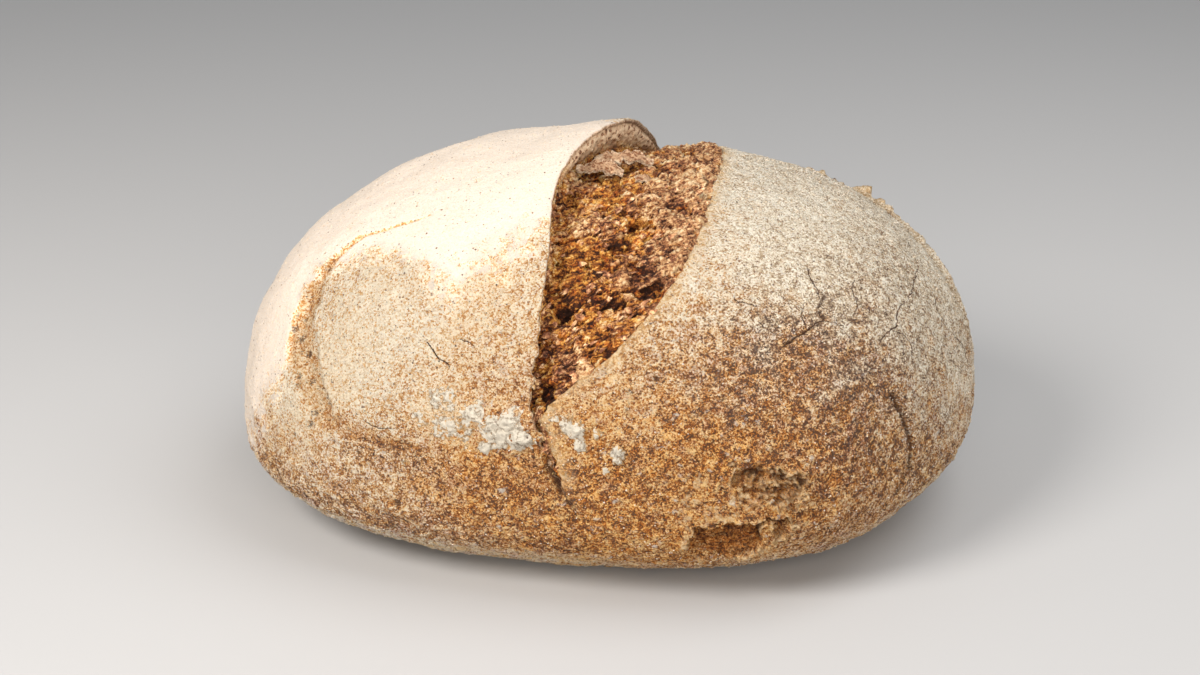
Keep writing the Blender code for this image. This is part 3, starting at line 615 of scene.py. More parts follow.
def crust_edges(turn):
    """x where the left and the right crust end, how open the burst is there, and how high the ear stands.
    Where the burst has closed they meet on one line."""
    ear, far_edge = burst_edges(turn)
    opening = burst_opening(turn)
    parted = ease(opening * PARTED_SOON)
    ear_edge = ear + EAR_OVERHANG * opening
    middle = (ear_edge + far_edge) / 2
    rise = np.clip(curve_through(EAR_RISE, turn), 0, None)
    return middle + parted * (ear_edge - middle), middle + parted * (far_edge - middle), parted, rise


def ragged_edge(side, turn):
    """x of one side's crust at its ragged edge."""
    left_edge, right_edge, parted, _ = crust_edges(turn)
    if side == "right":
        return right_edge - FAR_RAGGED * parted * rough_along(turn, RAGGED_TURNS, seed=52)
    crumbled = EAR_RAGGED + EAR_CRUMBLED * ease((EAR_CRUMBLES_BELOW - turn) / EAR_CRUMBLES_OVER)
    return left_edge + crumbled * parted * rough_along(turn, RAGGED_TURNS, seed=51)


# ------------------------------------------------------------------ relief of the crust
# Most of these give the relief in millimetres and a mask from 0 to 1 for the finish.


def nearest_on_line(skin, line):
    """Distance of each point to a line through (x, turn) places, the nearest knot of the line, and how
    far to the line's left the point is."""
    places = np.array([p[:2] for p in line], float)
    knots = np.arange(len(places))
    fine = np.linspace(0, len(places) - 1, LINE_STEPS * len(places))
    course = np.stack([curve_through(np.stack([knots, axis], -1), fine) for axis in places.T], -1)
    centre, normal = skin.dough.on_skin(course)
    leftward = np.cross(normal, np.gradient(centre, axis=0))
    leftward /= np.linalg.norm(leftward, axis=1, keepdims=True)
    points = skin.points
    close = ((points > centre.min(0) - LINE_MARGIN) & (points < centre.max(0) + LINE_MARGIN)).all(1)
    nearby = points[close]
    away = np.stack([np.linalg.norm(nearby - c, axis=1) for c in centre])
    near, best = np.full(len(points), FAR_AWAY), np.zeros(len(points), int)
    near[close], best[close] = away.min(0), away.argmin(0)
    return near, fine[best], np.einsum("ij,ij->i", points - centre[best], leftward[best])


def width_along(line, knot):
    """Half width of a slash at and between its knots."""
    return curve_through([(i, p[2]) for i, p in enumerate(line)], knot)


def slash_relief(skin, line, depth):
    """A shallow slash: steep on one side, sloping out on the other, with a ragged course."""
    away, knot, beside = nearest_on_line(skin, line)
    half_width = width_along(line, knot)
    wander = SLASH_WANDER * rough(skin.points, SLASH_WANDER_SIZE, seed=7)
    across = np.sign(beside) * away / half_width + wander
    steep, sloped = ease((1 + across) / SLASH_STEEP_EDGE), ease((1 - across) / SLASH_SLOPED_EDGE)
    inside = steep * sloped * (away < 3 * half_width)
    return -depth * np.minimum(half_width / DEEP_SLASH, 1) * inside, inside


def rim_relief(skin, line):
    """The ragged crust that stands up along the inner edge of the right-hand slash."""
    away, knot, beside = nearest_on_line(skin, line)
    half_width = width_along(line, knot)
    upright = np.exp(-(((np.sign(beside) * away - half_width) / RIM_WIDTH) ** 2))
    ragged = np.clip(1 - RIM_RAGGED * (0.5 - rough(skin.points, RIM_RAGGED_SIZE, seed=9)), 0, None)
    return RIM_HEIGHT * upright * ragged * np.minimum(half_width / DEEP_SLASH, 1)


def oval(skin, x, turn, half_length, half_height):
    """Seen flat from over a place: how far out in an oval each point is, 1 at its rim, and how far up the
    skin and out of it."""
    centre, normal = skin.dough.on_skin([(x, turn)])
    offset = skin.points - centre[0]
    up = np.cross(normal[0], X_AXIS)
    rise = offset @ (up if up[2] > 0 else -up)
    return np.hypot(offset[:, 0] / half_length, rise / half_height), rise, offset @ normal[0]


def hollow_relief(skin, x, turn, half_length, half_height, depth):
    """A ragged hollow with ledges of torn crust in it."""
    shape, up, out = oval(skin, x, turn, half_length, half_height)
    shape = shape + HOLLOW_RAGGED * rough(skin.points, HOLLOW_RAGGED_SIZE, seed=11)
    inside = ease((1 - shape) / HOLLOW_EDGE) * (np.abs(out) < half_length)
    layer = (up + LEDGE_WAVE * rough(skin.points, LEDGE_WAVE_SIZE, seed=12)) / LEDGE_PITCH
    return inside * (-depth + LEDGE_HEIGHT * ease((layer % 1.0) * LEDGE_FACE)), inside


def crack_relief(skin, half_width, depth, line):
    away = nearest_on_line(skin, line)[0] + CRACK_WANDER * rough(skin.points, CRACK_WANDER_SIZE, seed=23)
    inside = ease(1 - away / (half_width + CRACK_EDGE))
    return -depth * inside, inside


def lump_relief(skin, x, turn, reach, height):
    ragged = np.clip(1 + LUMP_RAGGED * rough(skin.points, LUMP_RAGGED_SIZE, seed=14), 0, None)
    return height * ease((1 - skin.away_from(x, turn) / reach) / LUMP_EDGE) * ragged


def base_relief(skin, hollows=HOLLOWS):
    """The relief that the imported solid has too, and the masks of slashes, torn patch and cracks."""
    high = SWELL_HEIGHT * rough(skin.points, SWELL_SIZE, seed=1, octaves=2)
    high += PUCKER_HEIGHT * rough(skin.points, PUCKER_SIZE, seed=2) + rim_relief(skin, RIGHT_SLASH)
    forms = {"slashed": (slash_relief, SLASHES), "torn": (hollow_relief, hollows),
             "cracked": (crack_relief, CRACKS)}
    masks = {}
    for key, (form, each) in forms.items():
        masks[key] = 0 * high
        for given in each:
            relief, inside = form(skin, *given)
            high += relief
            masks[key] = np.maximum(masks[key], inside)
    return high + sum(lump_relief(skin, *lump) for lump in FLOUR_LUMPS), masks


def pore_relief(skin, slashed):
    """Pores and small pits in the slashed crust, and a mask of painted shade in them, darker where they sink
    deeper.
    """
    sunk = 0 * slashed
    for x, turn, radius, depth in PORES:
        sunk = np.maximum(sunk, depth * ease((PORE_RIM - skin.away_from(x, turn) / radius) / PORE_EDGE))
    floor = np.flatnonzero(slashed > 0.1)
    inside, own = cells(skin.points[floor], FLOOR_PIT, seed=45)
    pits = ease(inside / FLOOR_PIT_WALL) * (own < FLOOR_PITS_SHARE) * slashed[floor]
    sunk[floor] = np.maximum(sunk[floor], FLOOR_PIT_DEPTH * pits)
    return -sunk, PORE_SHADE * np.clip(sunk, 0, 1)


def hairlines(skin):
    """For each row of hairline cracks: how far to the side of one each point is, in millimetres, and how
    wide it gapes there. It closes towards its ends."""
    found = {}
    for row, lines in enumerate(HAIRLINES):
        beside, gape = np.zeros((2, len(skin.points)))
        for width, line in lines:
            away, knot, across = nearest_on_line(skin, line)
            taper = np.sqrt(np.clip(np.sin(np.pi * knot / (len(line) - 1)), 0, 1))
            wide = HAIRLINE_GAPE * width * taper * ease(HAIRLINE_FADE * (1 - away / HAIRLINE_REACH))
            beside = np.where(wide > gape, across, beside)
            gape = np.maximum(gape, wide)
        found[f"beside_{row}"], found[f"gape_{row}"] = beside, gape
    return found


# ------------------------------------------------------------------ how the flour lies


def above(line, x, turn, fade):
    """0 to 1 as the turn passes a line over x, with this many degrees of fade."""
    return ease((turn - curve_through(line, np.clip(x, -LINES_END, LINES_END))) / fade + 0.5)


def spots(places, x, up):
    """Soft spots added up, as (x, turn, reach, amount)."""
    return sum(amount * np.exp(-((x - at_x) / reach) ** 2 - ((up - at_turn) / reach * SPOT_SQUASH) ** 2)
               for at_x, at_turn, reach, amount in places)


def flour_zones(skin):
    """Masks over the crust: how thickly floured, how white, how grey, how near the foot, where it is paler
    partly in its own colour and partly as painted bounce light, how golden.
    """
    x, up = skin.x, skin.up
    end = ease((np.abs(x) - ENDS_FROM) / ENDS_FADE)
    more = 1 + ENDS_MORE * end
    drift = more * layered(skin.points, DRIFTS)
    blotch = rough(skin.points, BLOTCH_SIZE, seed=33)
    cover = BARE_COVER + BLOTCH_COVER * blotch + spots(FLOUR_DUST, x, up)
    for line, amount, fade, wider in COVER_STEPS:
        cover += amount * above(line, x, up + drift, fade * (1 + wider * end))
    greyed = above(FLOURED_FROM, x, up + GREY_DRIFT * drift, GREY_UP_FADE * more)
    # Paler near the foot: partly the pale base, partly painted bounce light
    foot = ease((FOOT_BELOW - up) / FOOT_FADE)
    golden = spots(GOLDEN_SPOTS, x, up) * (skin.turn < 180) + BLOTCH_GOLD * blotch
    return {"cover": np.clip(cover, 0, 1),
            "white": above(WHITE_FROM, x, up + WHITE_DRIFT * drift, WHITE_FADE * more),
            "grey": ease((x - GREY_FROM) / GREY_FADE) * greyed,
            "foot": foot * (1 + PAINTED_BOUNCE_LEFT * ease((PAINTED_BOUNCE_TO - x) / PAINTED_BOUNCE_FADE)),
            "golden": np.clip(golden, 0, 1)}


def streaks(skin):
    """Creases drawn out along the loaf's ends, low on the left and all up the right."""
    high = 0 * skin.x
    for lean, (from_x, fade_x), (below, fade_up), seed in STREAKS:
        along = np.array([1.0, 0.0, lean]) / math.hypot(1.0, lean)
        across = np.array([-along[2], 0.0, along[0]])
        zone = ease((np.sign(from_x) * skin.x - abs(from_x)) / fade_x) * ease((below - skin.up) / fade_up)
        held = np.flatnonzero(zone > 0.02)
        points = skin.points[held]
        placed = np.stack([points @ along / STREAK_RUN, points @ across / STREAK_THICK,
                           points[:, 1] / STREAK_RUN], -1)
        high[held] += STREAK_HEIGHT * zone[held] * rough(placed, 1.0, seed=seed)
    return high


def crust_detail(skin, masks, sizes):
    """Fine relief: pebbles on bare crust, sand where it is floured, little on the white coat."""
    inside, own = cells(skin.points, PEBBLE_SIZE, seed=41)
    pebble = ease(inside / PEBBLE_WALL) * (0.35 + 0.65 * own) - PEBBLE_LEVEL
    coarse = rough(skin.points, COARSE_SIZE, seed=42)
    sand = rough(skin.points, SAND_SIZE, seed=43, octaves=2)
    bare = np.clip(1.15 - masks["cover"], 0.15, 1.0) * (1 - 0.85 * masks["white"])
    high = sizes.pebble_height / MM * bare * (pebble + 0.5 * coarse)
    return high + sizes.sand_height / MM * (1 - 0.7 * masks["white"]) * sand


def touched(shown):
    """Which quads of a grid have a corner that is shown."""
    return shown[:-1, :-1] | shown[1:, :-1] | shown[:-1, 1:] | shown[1:, 1:]


# ------------------------------------------------------------------ meshes and where they sit


class Seat:
    """Brings points in the dough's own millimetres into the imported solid's box, in metres."""

    def __init__(self, low, high):
        size = (CAD_HIGH - CAD_LOW) / MM
        self.scale = np.minimum(1.0, size / (high - low + 2 * SEAT_CLEAR))
        self.middle = (low + high) / 2 * np.array([1, 1, 0])
        self.goal = (CAD_LOW + CAD_HIGH) / 2 / MM * np.array([1, 1, 0])

    def __call__(self, points):
        return ((points - self.middle) * self.scale + self.goal) * MM


def grid_quads(rings, columns, flip=False, closed=False):
    """Corner numbers of the quads between neighbouring rings and columns of a grid."""
    ring, column = np.meshgrid(np.arange(rings if closed else rings - 1), np.arange(columns - 1),
                               indexing="ij")
    after = (ring + 1) % rings
    corners = [(ring, column), (ring, column + 1), (after, column + 1), (after, column)]
    quads = np.stack([r * columns + c for r, c in corners], -1)
    return quads[..., ::-1] if flip else quads


def add_piece(name, sizes, points, quads, triangles, material, masks):
    """A smooth mesh object from points in the dough's millimetres, with a number for each point under each
    mask's name."""
    quads, triangles = np.asarray(quads, int).reshape(-1, 4), np.asarray(triangles, int).reshape(-1, 3)
    corners = np.concatenate([quads.ravel(), triangles.ravel()])
    used, corners = np.unique(corners, return_inverse=True)
    corner_counts = np.repeat([4, 3], [len(quads), len(triangles)])
    points = seat_of(sizes)(points.reshape(-1, 3)[used])
    mesh = bpy.data.meshes.new(name)
    mesh.vertices.add(len(used))
    mesh.vertices.foreach_set("co", np.clip(points, CAD_LOW, CAD_HIGH).astype(np.float32).ravel())
    mesh.loops.add(len(corners))
    mesh.loops.foreach_set("vertex_index", corners.ravel().astype(np.int32))
    mesh.polygons.add(len(corner_counts))
    mesh.polygons.foreach_set("loop_start", (np.cumsum(corner_counts) - corner_counts).astype(np.int32))
    mesh.polygons.foreach_set("use_smooth", np.ones(len(corner_counts), bool))
    mesh.update(calc_edges=True)
    for key, values in masks.items():
        layer = mesh.attributes.new(key, "FLOAT", "POINT")
        layer.data.foreach_set("value", np.asarray(values, np.float32).ravel()[used])
    mesh.materials.append(material)
    piece = bpy.data.objects.new(name, mesh)
    bpy.context.scene.collection.objects.link(piece)
    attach(piece, "root")
    return piece


# ------------------------------------------------------------------ the crust


@functools.lru_cache(maxsize=None)
def baked_crust(sizes, side):
    """Points (mm) of one side's crust over (ring, column), its masks, and how far it has parted at each ring.
    Columns run from the loaf's end to the burst and then down the crust's cut edge."""
    dough, turn, edge_mask = dough_of(sizes), ring_turns(CRUST_RINGS), "cut" if side == "left" else "rim"
    end, lip = (-1, EAR_LIP) if side == "left" else (1, FAR_LIP)
    edge = ragged_edge(side, turn)
    _, _, parted, rise = crust_edges(turn)
    reach = dough.place_of(edge)[:, None] - end
    x = dough.x_of(end + reach * np.arange(1, CRUST_COLUMNS + 1) / CRUST_COLUMNS)
    skin = Skin(dough, x, turn[:, None])
    high, masks = side_relief(skin, side, sizes)
    high = high.reshape(x.shape)
    if side == "left":
        high = high + ease(1 - (edge[:, None] - x) / EAR_SPREAD) ** 2 * rise[:, None]

    rows = [skin.raised(high * (skin.grid[..., 2] >= CLEAR_OF_TABLE))]
    thick = 1 + LIP_UNEVEN * rough_along(turn, LIP_UNEVEN_TURNS, seed=53)
    for outwards, depth in lip:
        under = Skin(dough, edge - end * outwards * parted, turn)
        rows.append(under.raised(high[:, -1] - depth * thick)[:, None])
    grid = np.concatenate(rows, 1)
    grid[..., 2] = np.where(grid[..., 2] < CLEAR_OF_TABLE, 0.0, grid[..., 2])
    masks = {key: np.pad(values.reshape(x.shape), ((0, 0), (0, len(lip))), mode="edge")
             for key, values in masks.items()}
    masks[edge_mask][:, CRUST_COLUMNS:] += np.minimum(np.arange(1, len(lip) + 1) / 2, 1)
    if side == "right":
        frayed = parted * (FRAYED_SHARE + FRAYED_UNEVEN * rough_along(turn, FRAYED_TURNS, seed=55))
        last = slice(CRUST_COLUMNS - len(FRAYED), CRUST_COLUMNS)
        masks["rim"][:, last] = np.clip(frayed[:, None] * np.array(FRAYED), 0, 1)
    return grid, masks, parted


@functools.lru_cache(maxsize=None)
def dough_of(sizes):
    return Dough(sizes)


def skin_patch(sizes, x_range, turn_range, pitch, turn_pitch):
    """An even grid of places over part of the skin."""
    x, turn = np.arange(*x_range, pitch), np.arange(*turn_range, turn_pitch)
    return Skin(dough_of(sizes), *np.meshgrid(x, turn, indexing="ij"))


@functools.lru_cache(maxsize=None)
def seat_of(sizes):
    sides = [baked_crust(sizes, side)[0].reshape(-1, 3) for side in ("left", "right")]
    points = np.concatenate(sides)
    return Seat(points.min(0), points.max(0))


def add_crust(sizes, side, material):
    grid, masks, parted = baked_crust(sizes, side)
    rings, columns = grid.shape[:2]
    flip = side == "right"
    quads = grid_quads(rings, columns, flip, closed=True)
    keep = np.ones(quads.shape[:2], bool)
    keep[:, CRUST_COLUMNS - 1:] = ((parted > 0) | (np.roll(parted, -1) > 0))[:, None]
    here = np.arange(rings) * columns
    fan = np.stack([np.full(rings, rings * columns), here, np.roll(here, -1)], -1)
    dough = dough_of(sizes)
    end = dough.skin(np.array([dough.length / 2 * (1 if flip else -1)]), np.array([180.0]))
    points = np.concatenate([grid.reshape(-1, 3), end])
    masks = {key: np.append(values, values[:, 0].mean()) for key, values in masks.items()}
    fan = fan[:, ::-1] if flip else fan
    piece = add_piece("crust_" + side, sizes, points, quads[keep], fan, material, masks)
    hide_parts(NODE)
    return piece


def patch_share(skin, border):
    """1 well inside the torn patch, and 0 beyond its border, which is a share of its reach."""
    (middle_x, middle_turn), (reach_x, reach_turn) = PATCH_MIDDLE, PATCH_REACH
    away = np.hypot((skin.x - middle_x) / reach_x, (skin.turn - middle_turn) / reach_turn)
    near = np.flatnonzero(away < PATCH_BORDER)
    away[near] += PATCH_WANDER * rough(skin.points[near], PATCH_WANDER_SIZE, seed=123)
    return ease((border - away) / PATCH_FADE)


def side_relief(skin, side, sizes):
    """Relief and masks of the crust on one side of the burst, without the ear's rise."""
    high, masks = base_relief(skin)
    masks.update(flour_zones(skin), cut=0 * high, rim=0 * high, **hairlines(skin))
    if side == "right":
        masks["white"] = 0 * high
        rim = rim_relief(skin, RIGHT_SLASH) / RIM_HEIGHT
        shards = ease(0.3 + 2.0 * rough(skin.points, SHARD_SIZE, seed=54))
        shards = shards * ease((SHARDS_TO - skin.x) / SHARDS_FADE)
        high, masks["rim"] = high + SHARD_HEIGHT * rim * shards, 0.8 * rim * (0.4 + 0.6 * shards)
    else:
        relief, band = slash_relief(skin, GOLD_BAND, GOLD_BAND_DEPTH)
        high, masks["slashed"] = high + relief, np.maximum(masks["slashed"], band)
        masks["golden"] = np.maximum(masks["golden"], SLASH_GOLD * masks["slashed"])
    # Painted shade in the pores and pits joins the cracks' mask
    sunk, pore_shade = pore_relief(skin, masks["slashed"])
    masks["cracked"] = np.maximum(masks["cracked"], pore_shade)
    masks["fine"] = crust_detail(skin, masks, sizes) + streaks(skin)
    return high + masks["fine"] + sunk - CRUST_UNDER_PATCH * patch_share(skin, CRUST_HIDDEN_TO), masks


def lengths_up(dough, turn):
    """How far up the front each turn lies, in millimetres over the skin in the middle of the patch."""
    steps = np.arange(0.0, 181.0)
    skin = dough.skin(np.full(len(steps), PATCH_MIDDLE[0]), steps)
    run = np.append(0, np.cumsum(np.linalg.norm(np.diff(skin, axis=0), axis=1)))
    return np.interp(turn, steps, run - run[90])


def laid_out(dough, outline):
    """An outline of (x, turn) corners as x and length up the front."""
    x, turn = np.array(outline, float).T
    return np.stack([x, lengths_up(dough, turn)], -1)


def within(corners, x, up):
    """How far each place lies inside an outline, in millimetres, negative outside it."""
    away, inside = np.full(len(x), np.inf), np.zeros(len(x), bool)
    for (ax, au), (bx, bu) in zip(corners, np.roll(corners, -1, 0)):
        run, rise = bx - ax, bu - au
        t = np.clip(((x - ax) * run + (up - au) * rise) / (run**2 + rise**2), 0, 1)
        away = np.minimum(away, np.hypot(x - ax - t * run, up - au - t * rise))
        inside ^= ((au > up) != (bu > up)) & ((x - ax) * abs(rise) < (up - au) * run * np.sign(rise))
    return np.where(inside, away, -away)


def torn_relief(skin):
    """Crust torn off in ragged hollows round flaps left standing: relief, how deep in a hollow each point is,
    the pale rim round it, and the painted shade in the gap under its upper edge."""
    x, points, up = skin.x, skin.points, lengths_up(skin.dough, skin.turn)
    ragged, crumbs = layered(points, TEAR_RAGGED), layered(points, TORN_CRUMBS)
    patchy, shade_patches, bits = (in_patches(points, *each) for each in (RIM_PATCHES, SHADE_GAP_PATCHES, PALE_BITS))
    placed = points / np.array([FIBRE_RUN, FIBRE_THICK, FIBRE_THICK])
    fibres = FIBRE_DEPTH * (1 - 2 * np.abs(rough(placed, 1.0, seed=124)))
    layer = (up + LAYER_WAVE * rough(points, LAYER_WAVE_SIZE, seed=128)) / LAYER_PITCH % 1.0
    crumbs += LAYER_HEIGHT * (ease(layer * 2.2) - 0.5)
    high, deep, rim, dark = np.zeros((4, len(points)))
    for height, outline in FLAPS:
        standing = ease((within(laid_out(skin.dough, outline), x, up) + ragged) / FLAP_EDGE)
        high = np.maximum(high, height * standing)
        rim = np.maximum(rim, FLAP_PALE * standing * patchy)
    for depth, upper, lower, fibrous, outline in TEARS:
        corners = laid_out(skin.dough, outline)
        low, top = corners[:, 1].min(), corners[:, 1].max()
        share = np.clip((up - low) / (top - low), 0, 1)
        inner = within(corners, x, up) + ragged
        inside = ease(inner / (lower + (upper - lower) * share))
        floor = -depth * (0.35 + 0.65 * share) + fibrous * fibres + (1.2 - 0.5 * fibrous) * crumbs
        high = high * (1 - inside) + np.minimum(floor, 0.3) * inside
        rim = np.maximum(rim * (1 - inside), np.exp(-(((inner + 0.5) / RIM_REACH) ** 2)) * patchy)
        # Painted shade in the gap just inside a tear's upper edge, in patches
        gap = np.exp(-(((inner - 0.9) / 0.8) ** 2)) * ease((share - 0.4) / 0.3)
        dark = np.maximum(dark * (1 - inside), gap * shade_patches)
        rim = np.maximum(rim, inside * bits * ease(1.6 - 2 * fibrous))
        shown = 0.1 + 0.85 * fibrous + 0.3 * (1 - patchy) - 0.25 * crumbs
        deep = np.maximum(deep, inside * np.clip(shown, 0, 1))
    return high + EDGE_HEIGHT * (rim - dark), deep, rim, dark


def add_torn_patch(sizes, material):
    """The torn patch low on the front, on a finer grid than the crust that it breaks through."""
    skin = skin_patch(sizes, PATCH_X, PATCH_TURNS, PATCH_PITCH, PATCH_TURN_PITCH)
    high, masks = base_relief(skin, hollows=())
    masks.update(flour_zones(skin), white=0 * high, cut=0 * high, **hairlines(skin))
    relief, deep, rim, dark = torn_relief(skin)
    shown = patch_share(skin, 1.0)
    # dark is the painted shade under the tears' upper edges, drawn in the crack colour
    masks.update(fine=crust_detail(skin, masks, sizes), torn=deep * shown, rim=rim * shown,
                 cracked=np.maximum(masks["cracked"], dark * shown))
    grid = skin.raised(high + masks["fine"] + relief * shown - PATCH_SINK * (1 - shown))
    quads = grid_quads(*skin.shape, flip=True)[touched((shown > 0.02).reshape(skin.shape))]
    return add_piece("torn_patch", sizes, grid, quads, [], material, masks)


def leaned(points):
    """Points sheared the way the strands of crumb lean."""
    return points - STRANDS_LEAN * points[:, :1] * Z_AXIS


def crumb_crags(skin):
    """Strands and lumps across the burst, and how deep its pits are sunk."""
    drawn = leaned(skin.points) / np.array([CRAG_LENGTH, CRAG_PITCH, CRAG_PITCH])
    strands = 1 - 2 * np.abs(rough(drawn, 1.0, seed=3))
    lumps = rough(skin.points, CRAG_PITCH, seed=4, octaves=2)
    pits = sum(pit_relief(skin, *pit) for pit in PITS)
    return STRAND_SHARE * strands + (1 - STRAND_SHARE) * lumps, pits


def torn_cells(points):
    """Fine relief of the torn crumb, how deep in a gas cell each point is, which the finish paints as shade,
    and where thin walls stand.
    """
    leaning = leaned(points)
    torn, hole_shade = cell_relief(leaning)
    fibres = rough(leaning / np.array(FIBRE_SIZE), 1.0, seed=63)
    fine = rough(points, 1.1, seed=64, octaves=2)
    drawn = (leaning + CELL_WARP * fine[:, None]) / np.array(WEB_STRETCH)
    web = sum(share * np.exp(-((rough(drawn, size, seed=seed, octaves=2) / WEB_THIN) ** 2))
              for size, share, seed in WEBS)
    return torn + FIBRE_HEIGHT * fibres + CRUMB_GRAIN * fine + WEB_HEIGHT * web, hole_shade, web


def join_normals(sizes, left, right):
    """Where the burst has closed the two crusts share one edge, and get one normal along it."""
    parted = baked_crust(sizes, "left")[2]
    closed = np.flatnonzero(parted == 0)
    shared = {}
    for piece, side in ((left, "left"), (right, "right")):
        grid = seat_of(sizes)(baked_crust(sizes, side)[0][closed, CRUST_COLUMNS - 1])
        mesh = piece.data
        places, normals = np.empty(len(mesh.vertices) * 3, np.float32), np.empty(len(mesh.vertices) * 3)
        mesh.vertices.foreach_get("co", places)
        mesh.vertex_normals.foreach_get("vector", normals)
        number = {tuple(p): i for i, p in enumerate(places.reshape(-1, 3))}
        index = [number[tuple(p)] for p in grid.astype(np.float32)]
        shared[side] = index, normals.reshape(-1, 3)
    both = shared["left"][1][shared["left"][0]] + shared["right"][1][shared["right"][0]]
    both /= np.linalg.norm(both, axis=1, keepdims=True)
    for piece, side in ((left, "left"), (right, "right")):
        index, normals = shared[side]
        normals[index] = both
        piece.data.normals_split_custom_set_from_vertices(normals.tolist())


# ------------------------------------------------------------------ the torn crumb


@functools.lru_cache(maxsize=None)
def torn_crumb(sizes):
    """Points (mm) of the crumb in the burst over (ring, column), its masks and its normals."""
    turn, share = ring_turns(CRUMB_RINGS, *CRUMB_TURNS), np.linspace(0, 1, CRUMB_COLUMNS)
    ear, far_edge = burst_edges(turn)
    parted, rise, opening = (values[:, None] for values in (*crust_edges(turn)[2:], burst_opening(turn)))
    column, width, pull, depth = np.array(BURST_SECTION).T
    width, pull, depth = (np.interp(share, column, values) for values in (width, pull, depth))
    x = ear[:, None] + (far_edge - ear)[:, None] * width + opening * pull
    skin = Skin(dough_of(sizes), x, turn[:, None])
    sunk = opening * depth - rise * ease(1 - share / EAR_ROOT) + CRUMB_TUCK * (1 - parted)
    high = base_relief(skin)[0].reshape(x.shape) * (1 - CRUST_LOST * opening) - sunk
    crags, pits = crumb_crags(skin)
    inside = ease((share - CRAGS_FROM) / CRAGS_FADE_IN) * ease((1 - share) / CRAGS_FADE_OUT) * opening
    near = ease((share - 0.05) / 0.05) * ease((1 - share) / 0.06) * opening
    broad = (sizes.crag_depth / MM * crags + pits).reshape(x.shape)
    broad_grid = skin.raised(high + broad * inside)
    facing = surface_normals(broad_grid, skin.normal)
    close, hole_shade, web = torn_cells(broad_grid.reshape(-1, 3))
    close = close.reshape(x.shape)
    grid = broad_grid + facing * (close * near * (0.7 + 0.3 * inside))[..., None]
    sunken = np.clip(-pits / DEEP_PIT, 0, 1)
    glow, burnt = WEB_PALE * (web - 0.72) + PIT_RING * sunken * (1 - sunken), 0 * pits
    for at_x, at_turn, reach, brighter, more in CRUMB_SPOTS:
        spot = np.exp(-((skin.away_from(at_x, at_turn) / reach) ** 2))
        glow, burnt = glow + brighter * spot, burnt + more * spot
    # How deep in a gas cell or pit each point is; the finish darkens the crumb by it, as painted shade in the
    # holes
    masks = {"glow": glow, "burnt": burnt, "height": (broad + close - CRUMB_LEVEL) / CRUMB_SPREAD,
             "hole_shade": hole_shade - pits / 5, "side": np.broadcast_to(share, x.shape),
             "ear_face": ear_face(share, np.broadcast_to(turn[:, None], x.shape))}
    return grid, masks, facing


def surface_normals(grid, outward):
    """Unit normals of a grid of points, evened out over their neighbours, on the outward side."""
    normals = np.cross(np.gradient(grid, axis=1), np.gradient(grid, axis=0))
    normals *= np.sign((normals * outward).sum())
    for _ in range(NORMALS_EVENED):
        padded = np.pad(normals, ((1, 1), (1, 1), (0, 0)), mode="edge")
        normals = (padded[:-2, 1:-1] + padded[2:, 1:-1] + padded[1:-1, :-2] + padded[1:-1, 2:]
                   + 2 * padded[1:-1, 1:-1])
        normals /= np.maximum(np.linalg.norm(normals, axis=-1, keepdims=True), 1e-9)
    return normals


def ear_face(share, turns):
    """The cut side of the ear at the crown, where its crumb dried grey; its colour is also painted paler
    there, as light on a face the lamps leave in shade.
    """
    (first, fade_in), (last, fade_out) = EAR_FACE_FROM, EAR_FACE_TO
    face = ease((EAR_FACE_SHARE - share) / EAR_FACE_FADE)
    return face * ease((turns - first) / fade_in) * ease((last - turns) / fade_out)


def pit_relief(skin, x, turn, half_length, half_height, depth):
    """A pit with a ragged rim."""
    shape, _, out = oval(skin, x, turn, half_length, half_height)
    shape = shape + HOLLOW_RAGGED * rough(skin.points, half_height, seed=16)
    return -depth * ease((1 - shape) / PIT_EDGE) * (np.abs(out) < half_length + half_height)


def cell_relief(points):
    """Gas cells torn open, smaller ones inside larger: relief in millimetres, and how deep in a cell, which
    the finish paints as shade.
    """
    warp = np.stack([rough(points, CELL_WARP_SIZE, seed=70 + i, octaves=2) for i in range(3)], -1)
    warped = (points + CELL_WARP * warp) / np.array(CELL_STRETCH)
    high, hole_shade = np.zeros(len(points)), np.zeros(len(points))
    for i, (size, share_open, depth) in enumerate(GAS_CELLS):
        inside, own = cells(warped, size, seed=80 + i)
        bowl = ease(inside / CELL_WALL) * (own < share_open) * (0.5 + own / share_open / 2)
        high += depth * (CELL_LEVEL - bowl)
        hole_shade = np.maximum(hole_shade, bowl * depth / GAS_CELLS[0][2])
    return high, hole_shade


def add_crumb(sizes, material):
    grid, masks, _ = torn_crumb(sizes)
    piece = add_piece("burst_crumb", sizes, grid, grid_quads(*grid.shape[:2]), [], material, masks)
    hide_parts(NODE)
    return piece


# ------------------------------------------------------------------ thin torn skins


def slabs(tops, under):
    """Closed thin bodies from grids of top points (body, row, column) and the offset to their undersides:
    points, quads."""
    count, rows, columns = tops.shape[:3]
    each = rows * columns
    points = np.stack([tops, tops + under], 1).reshape(-1, 3)
    top = grid_quads(rows, columns).reshape(-1, 4)
    number = np.arange(each).reshape(rows, columns)
    rim = np.concatenate([number[0, :-1], number[:-1, -1], number[-1, :0:-1], number[:0:-1, 0]])
    after = np.roll(rim, -1)
    side = np.stack([rim, rim + each, after + each, after], -1)
    one = np.concatenate([top, top[:, ::-1] + each, side[:, ::-1]])
    starts = np.arange(count)[:, None, None] * 2 * each
    return points, (one[None] + starts).reshape(-1, 4)


